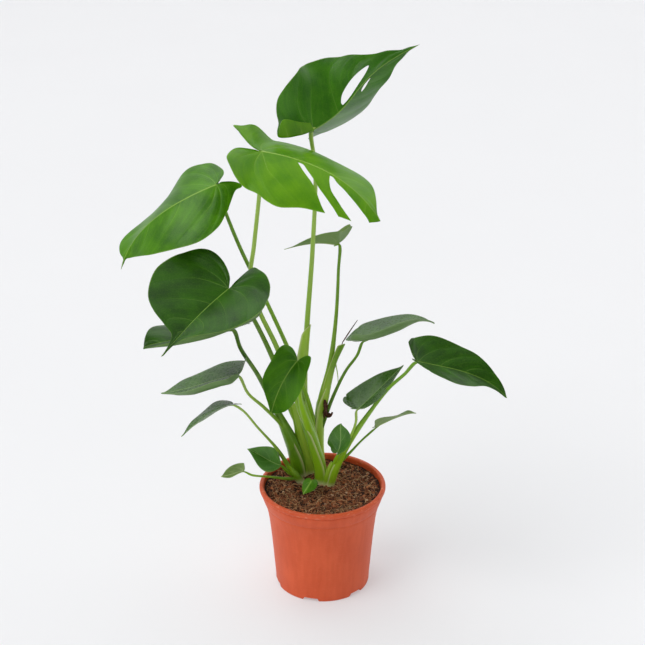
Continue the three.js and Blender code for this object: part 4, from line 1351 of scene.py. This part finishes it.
def sheath_mesh(path, radii, faces_way, spread, flare, point=0.35):
    """faces_way, spread (degrees) and flare are at the foot and at the top. point is the tapering share."""
    line = evenly(smooth_line(path, 300), SHEATH_ROWS)
    radius = along_radii(radii, SHEATH_ROWS)[:, None]
    share = np.linspace(0, 1, SHEATH_ROWS)[:, None]
    middle = np.radians(faces_way[0] + (faces_way[1] - faces_way[0]) * share)
    reach = np.radians(spread[0] + (spread[1] - spread[0]) * share)
    reach = reach * np.sqrt(np.clip((1.0 - share) / point, 0.0004, 1))
    side = np.linspace(-1, 1, SHEATH_COLUMNS)[None]
    stand = flare[0] + (flare[1] - flare[0]) * share
    out = radius * (1 + stand * np.abs(side) ** 4 * smooth_step(share, 0.0, 0.3))
    points = around(line, middle + reach * side, out)
    uv = np.stack(np.broadcast_arrays(share, (side + 1) / 2), -1).reshape(-1, 2)
    solid, skin = thickened(points, sheet_grid(SHEATH_ROWS, SHEATH_COLUMNS), SHEATH_THICKNESS)
    return solid, skin, np.vstack([uv, uv])


SHEATHS = {
    "left_foot": ("left", ("leafy", "deep"), dict(
        radii=(10.8, 10.6, 7.0, 4.6), path=[(-30, 41, 138), (-34, 38, 165), (-43, 34, 196), (-57, 28, 232)],
        faces_way=(-75, -80), spread=(120, 100), flare=(0.05, 0.12),
    )),
    "left_inner": ("left", ("lime", "bright"), dict(
        radii=(7.5, 6.8, 5.2, 3.8), path=[(-25, 42, 138), (-29, 42, 180), (-34, 40, 220), (-45, 35, 252)],
        faces_way=(20, 10), spread=(100, 80), flare=(0.08, 0.08),
    )),
    "left_light": ("left", ("lime", "lime"), dict(
        radii=(6.0, 6.8, 6.2, 4.2), path=[(-16, 43, 141), (-23, 41, 185), (-30, 38, 218), (-39, 35, 254)],
        faces_way=(10, 10), spread=(130, 110), flare=(0.05, 0.05), point=0.2,
    )),
    "middle_foot": ("middle", ("bright", "leafy"), dict(
        radii=(8.9, 8.7, 7.4, 5.0), path=[(-1, 20, 138), (-3, 20, 165), (-12, 18, 200), (-29, 15, 255)],
        faces_way=(-80, -95), spread=(118, 95), flare=(0.10, 0.16),
    )),
    "middle_back": ("middle", ("lime", "bright"), dict(
        radii=(6.0, 6.4, 5.0, 3.0), path=[(-3, 27, 141), (-9, 27, 185), (-17, 25, 225), (-26, 22, 262)],
        faces_way=(40, 50), spread=(110, 85), flare=(0.08, 0.08),
    )),
    "tall_wing": ("tall", ("pale", "lime"), dict(
        radii=(5.0, 5.0, 4.6, 3.8),
        path=[(-25, 54, 232), (-25.5, 52.4, 280), (-23, 51, 325), (-19.5, 50.5, 362)],
        faces_way=(62, 62), spread=(152, 152), flare=(2.4, 0.3), point=0.14,
    )),
    "back_wing": ("back", ("lime", "lime"), dict(
        radii=(8.0, 7.4, 6.6, 5.2), path=[(-3, 50, 138), (-6, 49, 178), (-2, 49, 242), (9, 51, 296)],
        faces_way=(100, 95), spread=(138, 120), flare=(0.30, 0.30),
    )),
    "back_point": ("back", ("lime", "leafy"), dict(
        radii=(5.2, 4.8, 4.0, 5.2), path=[(2, 48, 245), (8, 47.5, 280), (15, 47, 308), (25.5, 47.5, 337)],
        faces_way=(35, 45), spread=(110, 85), flare=(0.15, 0.15), point=0.06,
    )),
    "right_foot": ("right", ("bright", "bright"), dict(
        radii=(5.5, 6.3, 5.2, 3.6), path=[(10, 11, 139), (16, 8, 165), (24, 5, 186), (34, 0, 209)],
        faces_way=(70, 60), spread=(120, 90), flare=(0.10, 0.10),
    )),
    "right_inner": ("right", ("bright", "lime"), dict(
        radii=(4.2, 4.2, 3.0, 1.8), path=[(4, 12, 138), (7, 11, 152), (10, 9.5, 166), (12.5, 8.5, 178)],
        faces_way=(-20, -10), spread=(120, 90), flare=(0.10, 0.10),
    )),
    "seedling_wrap": ("seedling_left", ("leafy", "bright"), dict(
        radii=(4.9, 4.4, 3.2, 2.2), path=[(-29, 20, 138), (-35, 18, 148), (-43, 16.5, 160), (-50, 13, 174)],
        faces_way=(40, 20), spread=(130, 90), flare=(0.12, 0.12),
    )),
}

for name, (base, greens, shape) in SHEATHS.items():
    points, faces, uv = sheath_mesh(**shape)
    finish = stalk_finish(*greens, edge=True)
    piece = mesh_piece("sheath_" + name, points, faces, [finish], None, {"stalk": uv})
    seat(piece, "stalk_green", "stem_" + base)
print(len(SHEATHS), "sheaths")

# %% [markdown]
# ## Pot
# A nursery pot is blow-moulded plastic: thin, tapered, with a rolled rim, a soft flare under it and a foot
# ring with notches that let water out. A profile turned about the axis gives the body. The notches are
# raised in the foot ring's own points, so the wall stays whole, and the drain holes are cut.

# %% Turn the pot
POT_SIDES = 240
LONGEST_STEP = 4            # millimetres, along the profile
POT_PROFILE = [
    (0, 0), (30, 0), (31.5, 3.5), (57, 3.5), (58.2, 0.3), (59.0, 0), (62.6, 0), (63.3, 0.5), (63.7, 2),
    (64.2, 12), (65.4, 26), (67.1, 47), (69, 69), (70.5, 84), (72.1, 98), (73.8, 109), (75.9, 118),
    (77.6, 123.2), (77.5, 123.8), (78.3, 124.6), (80.2, 130.0), (82.2, 136.2), (83.0, 139.4), (82.9, 140.3),
    (82.4, 141.0), (83.4, 141.4), (84.6, 142.2), (85.1, 143.6), (85.1, 145.2), (84.6, 146.8), (83.5, 148.0),
    (82.0, 148.4), (80.3, 148.1), (79.2, 147.0), (78.9, 145.4), (79.0, 142), (78.6, 138), (76.4, 130),
    (74.1, 118), (70.4, 98), (67.3, 69), (61.8, 8), (60, 6), (0, 6),
]
NOTCHES = 6
NOTCH_START = -104.5        # degrees round from +X
NOTCH_HEIGHT = 4.6
NOTCH_HALF = 10.0           # half a notch's width, in degrees
NOTCH_SLOPE = 1.2           # how much of that is its slanting side
FOOT_RING = (57.5, 64.0)    # the radii between which the foot is notched
HOLES = 8
HOLE_RADIUS = 5.0
HOLE_SIDES = 24
HOLE_RING = 45.0
DRILL = (-2, 9)             # the heights that a drain hole's cutter reaches


def fine_profile(profile):
    """More points on the long straight stretches, and the given ones kept."""
    fine = [profile[0]]
    for start, end in zip(profile, profile[1:]):
        steps = max(1, int(math.dist(start, end) / LONGEST_STEP))
        fine += [tuple(np.array(start) + (np.array(end) - start) * (k + 1) / steps) for k in range(steps)]
    return np.array(fine)


def turned(profile, sides):
    """Points and faces of a profile that starts and ends on the axis."""
    rings = profile[1:-1]
    points = [(0, 0, profile[0][1]), *ring_points(rings, sides), (0, 0, profile[-1][1])]
    last = len(points) - 1
    faces = []
    for side in range(sides):
        after = (side + 1) % sides
        top = last - sides
        faces.append([0, 1 + after, 1 + side])
        faces.append([last, top + side, top + after])
    return np.array(points), faces + between_rings(len(rings), sides, first=1)


def notched(points):
    """Raises the foot ring's underside where a notch is."""
    turn = np.degrees(np.arctan2(points[:, 1], points[:, 0]))
    off = (turn - NOTCH_START + 180 / NOTCHES) % (360 / NOTCHES) - 180 / NOTCHES
    radius = np.hypot(points[:, 0], points[:, 1])
    lift = NOTCH_HEIGHT * (1 - smooth_step(np.abs(off), NOTCH_HALF - NOTCH_SLOPE, NOTCH_HALF))
    low = (radius > FOOT_RING[0]) & (points[:, 2] < NOTCH_HEIGHT) & (radius < FOOT_RING[1])
    points[low, 2] = np.maximum(points[low, 2], lift[low])
    return points


def drain_cutter():
    """One round peg for each drain hole."""
    peg = np.array(ring_points([(HOLE_RADIUS, height) for height in DRILL], HOLE_SIDES))
    points, faces = [], []
    for turn in circle(HOLES) + math.pi / HOLES:
        first = len(points) * len(peg)
        rim = list(range(first, first + HOLE_SIDES))
        points.append(peg + [HOLE_RING * math.cos(turn), HOLE_RING * math.sin(turn), 0])
        faces += [rim[::-1], [corner + HOLE_SIDES for corner in rim]]
        faces += between_rings(2, HOLE_SIDES, first)
    return mesh_piece("drain_cutter", np.vstack(points), faces, [])


pot_points, pot_faces = turned(fine_profile(POT_PROFILE), POT_SIDES)
print("pot's outline of", len(pot_points) // POT_SIDES, "rings")

# %% [markdown]
# The plastic is matt and evenly coloured, but not flat: it has a very fine moulded grain, faint upright
# flow marks, pale scuffs on the rim and some dust of dry soil near it. Each is a mask of noise at its own
# scale, kept faint.

# %% Make the pot and its finish
RIM_WEAR_FROM = (138, 142)      # heights between which the rim's wear sets in

plastic = Finish("pot_plastic")
here = plastic.place()
height = plastic.axis(here, "Z")
flow = plastic.noise(plastic.place((1, 1, 0.12)), 6, detail=3)
clouds = plastic.noise(here, 45, detail=3)
grain = plastic.noise(here, 0.35, detail=1)
specks = plastic.noise(here, 1.1, detail=2).above(0.66, 0.71)
scuffs = plastic.noise(plastic.place((0.35, 0.35, 1.8)), 2.2, detail=3).above(0.58, 0.68)
rim_wear = height.above(*RIM_WEAR_FROM)
tones = clouds.above(0.3, 0.7) * 0.6 + flow.above(0.35, 0.65) * 0.4
terracotta = plastic.mix(tones, srgb(196, 78, 40), srgb(210, 90, 52))
worn = plastic.mix(scuffs * (rim_wear * 0.35 + 0.07), terracotta, srgb(232, 156, 124))
dusty = plastic.mix(specks * (rim_wear * 0.4 + 0.12), worn, srgb(120, 62, 42))
pot_plastic = plastic.done(plastic.shader(
    Base_Color=dusty, Roughness=0.46 + clouds * 0.12 + scuffs * 0.1,
    Normal=plastic.bump(grain * 0.6 + flow * 0.4, 0.12), Specular_IOR_Level=0.32,
))
pot = mesh_piece("nursery_pot", notched(pot_points), pot_faces, [pot_plastic])
cut(pot, drain_cutter())
seat(pot, "pot_plastic", "pot")
print("pot of", len(pot.data.polygons), "faces")

# %% [markdown]
# ## Soil
# The mix is dark peat with chips of bark and threads of coconut fibre. A flat brown disc would look painted
# and a heap of loose grains would be heavy, so the bed is a closed body that fills the pot, with a lumpy
# top, and loose bits lie on it. Its slow waves are the CAD model's, with smaller lumps on them.

# %% Lay the bed
SOIL_TOP = 138.0
SOIL_RADIUS = 78.0
SOIL_WALL = ((76.0, 130), (73.7, 118), (70.0, 98), (66.9, 69), (61.3, 8.3), (59.7, 6.3))
SOIL_SIDES = 180
SOIL_RINGS = 48
BANK = 2.2                  # how far the soil is banked up against the wall


def soil_height(x, y):
    humps = np.sin(x * 0.21 + 1.3) * np.cos(y * 0.17)
    ridges = np.sin(x * 0.09 - y * 0.31 + 0.4)
    lumps = np.sin(x * 0.9 + 2 * np.sin(y * 0.5)) * np.cos(y * 0.8 + 1.5 * np.sin(x * 0.37))
    banked = BANK * smooth_step(np.hypot(x, y), 58, 76)
    return SOIL_TOP + banked + 0.7 * humps + 0.42 * ridges + 0.5 * lumps


def soil_bed(finish):
    radii = np.linspace(1, SOIL_RADIUS, SOIL_RINGS)[:, None]
    x = radii * np.cos(circle(SOIL_SIDES))
    y = radii * np.sin(circle(SOIL_SIDES))
    top = np.stack([x, y, soil_height(x, y)], -1).reshape(-1, 3)
    points = np.vstack([top, ring_points(SOIL_WALL, SOIL_SIDES)])
    middle = list(range(SOIL_SIDES))
    floor_ring = [len(points) - SOIL_SIDES + side for side in middle]
    walls = between_rings(len(points) // SOIL_SIDES, SOIL_SIDES, flip=True)
    return mesh_piece("soil_bed", points, [middle, *walls, floor_ring[::-1]], [finish])


print("soil", round(float(soil_height(0, 0)), 1), "mm high in the middle")

# %% [markdown]
# A chip or a crumb is the skin stretched over a few random points in a flattened ball. That gives broken,
# angular pieces with very few faces. A few such shapes serve for thousands of bits, because each is put
# down in its own size, turn and lean. All draws come from one seeded generator, so the soil is the same
# each time.

# %% Break bark into bits
SHAPES = 24
CORNERS = 10
LEAN = 0.35
draw = np.random.default_rng(7)


def broken_shape(flatness):
    """Points and faces of a broken, angular bit: the hull of random points in a flattened ball."""
    cloud = unit(draw.normal(size=(CORNERS, 3))) * draw.uniform(0.75, 1.0, (CORNERS, 1))
    cloud = cloud * np.array([1, draw.uniform(0.45, 0.9), flatness])
    shape = bmesh.new()
    corners = [shape.verts.new(point) for point in cloud]
    inside = bmesh.ops.convex_hull(shape, input=corners)["geom_interior"]
    spare = [corner for corner in inside if isinstance(corner, bmesh.types.BMVert)]
    bmesh.ops.delete(shape, geom=spare, context="VERTS")
    bmesh.ops.recalc_face_normals(shape, faces=shape.faces)
    shape.verts.index_update()
    points = np.array([tuple(vert.co) for vert in shape.verts])
    faces = [[vert.index for vert in face.verts] for face in shape.faces]
    shape.free()
    return points, faces


def random_turn():
    """A turn about the upright and a random lean."""
    turn = draw.uniform(0, 2 * math.pi)
    tip = draw.normal(0, LEAN, 2)
    spin = np.array([[math.cos(turn), -math.sin(turn), 0], [math.sin(turn), math.cos(turn), 0], [0, 0, 1]])
    lean = np.array([[1, 0, tip[0]], [0, 1, tip[1]], [-tip[0], -tip[1], 1]])
    return lean @ spin


def free_spot(margin):
    radius = (SOIL_RADIUS - margin) * math.sqrt(draw.uniform())
    turn = draw.uniform(0, 2 * math.pi)
    return radius * math.cos(turn), radius * math.sin(turn)


def strewn(name, finish, count, size, flatness, sink=0.0):
    """Each bit is one of a few broken shapes with its own size, turn and lean. Its tone is in a UV map."""
    shapes = [broken_shape(flatness) for _ in range(SHAPES)]
    points, faces, tones = [], [], []
    first = 0
    for spot in range(count):
        corners, rings = shapes[spot % SHAPES]
        grain = size[0] + (size[1] - size[0]) * draw.uniform() ** 2
        x, y = free_spot(grain + 1)
        place = np.array([x, y, soil_height(x, y) - sink * grain])
        points.append(place + corners * grain @ random_turn().T)
        faces += [[corner + first for corner in ring] for ring in rings]
        tones += [(draw.uniform(), 0.0)] * len(corners)
        first += len(corners)
    return mesh_piece(name, np.vstack(points), faces, [finish], None, {"bit": tones}, smooth=False)


print(SHAPES, "shapes from", CORNERS, "points each")

# %% [markdown]
# A coconut fibre is a thin tube that wanders over the soil and arches off it in the middle. Fibres that
# would cross the pot's wall are drawn in.

# %% Lay fibres
FIBRE_STEPS = 9
FIBRE_SIDES = 5
WANDER = 0.22               # how much a fibre turns at each step, in radians
FIBRE_LIFT = 0.9


def coir(name, finish, count):
    points, faces, tones = [], [], []
    for _ in range(count):
        x, y = free_spot(6)
        length = 4 + 20 * draw.uniform() ** 2
        heading = draw.uniform(0, 2 * math.pi)
        bend = draw.normal(0, WANDER, FIBRE_STEPS).cumsum() + heading
        steps = np.stack([np.cos(bend), np.sin(bend)], 1) * length / FIBRE_STEPS
        flat = np.vstack([[x, y], [x, y] + steps.cumsum(axis=0)])
        reach = np.hypot(*flat.T)
        flat = flat * np.minimum(1, (SOIL_RADIUS - 2) / reach)[:, None]
        arch = np.sin(np.linspace(0, math.pi, len(flat))) * draw.uniform(0.5, 3.4) + FIBRE_LIFT
        line = np.column_stack([flat, soil_height(*flat.T) + arch])
        radius = draw.uniform(0.16, 0.36) * (1 - 0.6 * np.linspace(-1, 1, len(line)) ** 2)
        own, rings, _ = tube_mesh(line, radius, sides=FIBRE_SIDES)
        faces += [[corner + len(points) for corner in ring] for ring in rings]
        points += list(own)
        tones += [(draw.uniform(), 0.0)] * len(own)
    return mesh_piece(name, points, faces, [finish], None, {"bit": tones})


print("fibres of", FIBRE_SIDES, "sides and", FIBRE_STEPS, "steps")

# %% [markdown]
# Peat, bark and fibre are all dull and rough, and differ in colour and grain. One function makes them: the
# tone comes from the bit's own random number, from larger patches and from the crumbs themselves, and the
# crumbs also raise the surface.

# %% Finish and strew the soil
def earth_face(name, dark, light, grain, rough):
    finish = Finish(name)
    here = finish.place()
    patch = finish.noise(here, grain * 6, detail=3)
    crumb = finish.noise(here, grain, detail=4)
    own_tone, _ = finish.uv("bit")
    tone = own_tone * own_tone * 0.55 + patch.above(0.35, 0.65) * 0.25 + crumb.above(0.35, 0.7) * 0.3
    return finish.done(finish.shader(
        Base_Color=finish.mix(tone, dark, light), Roughness=rough + crumb * 0.1,
        Normal=finish.bump(crumb, grain * 0.9), Specular_IOR_Level=0.25,
    ))


peat = earth_face("soil_peat", srgb(36, 20, 13), srgb(92, 58, 40), 1.1, 0.82)
bark = earth_face("soil_bark", srgb(66, 34, 22), srgb(206, 128, 84), 1.6, 0.7)
pale_bark = earth_face("soil_pale_bark", srgb(120, 78, 54), srgb(222, 184, 148), 1.4, 0.7)
crumb_face = earth_face("soil_crumb", srgb(46, 24, 15), srgb(188, 118, 80), 0.6, 0.8)
fibre_face = earth_face("soil_fibre", srgb(150, 96, 58), srgb(240, 196, 146), 0.5, 0.7)
soil_pieces = [
    soil_bed(peat),
    strewn("soil_chips_dark", bark, 760, (1.8, 6.0), 0.45),
    strewn("soil_chips_pale", pale_bark, 300, (0.9, 3.6), 0.45, sink=-0.2),
    strewn("soil_crumbs", crumb_face, 3000, (0.8, 2.8), 0.75),
    coir("soil_fibres", fibre_face, 460),
]
for piece in soil_pieces:
    seat(piece, "potting_soil", "soil")
print("soil in", len(soil_pieces), "pieces of", sum(len(o.data.polygons) for o in soil_pieces), "faces")

# %% [markdown]
# ## Dried sheath and threads
# A withered purple-brown sheath is caught in the fork between two stalks. It hangs as a crumpled strip and
# ends in two lobes, so it is made of flattened tubes whose section folds and narrows on its way, with a dry
# papery finish. Two threads are left of other sheaths: one dry and dark by the upper right leaf, and one
# pale green that hangs in the fork.

# %% Make the dried sheath and the threads
dry = earth_face("dried_brown", srgb(40, 18, 16), srgb(118, 74, 52), 0.7, 0.65)
SCRAP_LOBES = {
    "dried_scrap": ((1.0, 2.4, 2.9, 2.2), [
        (3.2, 41, 253), (4.4, 40.2, 242), (4.6, 39.3, 233), (9, 38.6, 229)]),
    "dried_scrap_left": ((2.2, 2.0, 0.7), [(4.2, 39.4, 236), (2.6, 38.6, 231.5), (2.2, 38.2, 227)]),
    "dried_scrap_right": ((2.3, 2.2, 0.9), [(6.0, 39, 232), (11, 38.2, 231.4), (13.2, 38, 236)]),
}
THREADS = {
    "thread_dry": (dry, "dried_brown", "dried_sheath", (0.45, 0.7, 0.85, 0.75, 0.45), [
        (45.8, 30, 377), (40, 32, 366.8), (33.6, 34, 355), (29, 38, 345), (26.5, 43, 338),
        (25.3, 45.5, 331)]),
    "thread_pale": (stalk_finish("pale", "lime"), "stalk_green", "stem_back", (0.9, 0.7, 0.6, 0.5, 0.7), [
        (16.5, 45.5, 312), (18.7, 44, 299.8), (20.7, 43.5, 284.8), (20.1, 43, 271), (17.5, 42.6, 262)]),
}


def crumple(turn, share):
    return 1 - 0.45 * np.cos(2 * turn + 5 * share) + 0.18 * np.sin(5 * turn + 13 * share)


for name, (radii, path) in SCRAP_LOBES.items():
    line = evenly(smooth_line(path, 120), 40)
    points, faces, uv = tube_mesh(line, along_radii(radii, len(line)), sides=16, shape=crumple)
    tones = {"bit": np.full_like(uv, 0.45)}
    seat(mesh_piece(name, points, faces, [dry], None, tones), "dried_brown", "dried_sheath")
for name, (finish, slot, node, radii, path) in THREADS.items():
    line = evenly(smooth_line(path, 200), 50)
    points, faces, uv = tube_mesh(line, along_radii(radii, len(line)), sides=8)
    seat(mesh_piece(name, points, faces, [finish], None, {"stalk": uv, "bit": uv}), slot, node)
print(len(SCRAP_LOBES), "lobes of the dried sheath and", len(THREADS), "threads")

# %% [markdown]
# ## Size
# The plant was made to the CAD model's size.
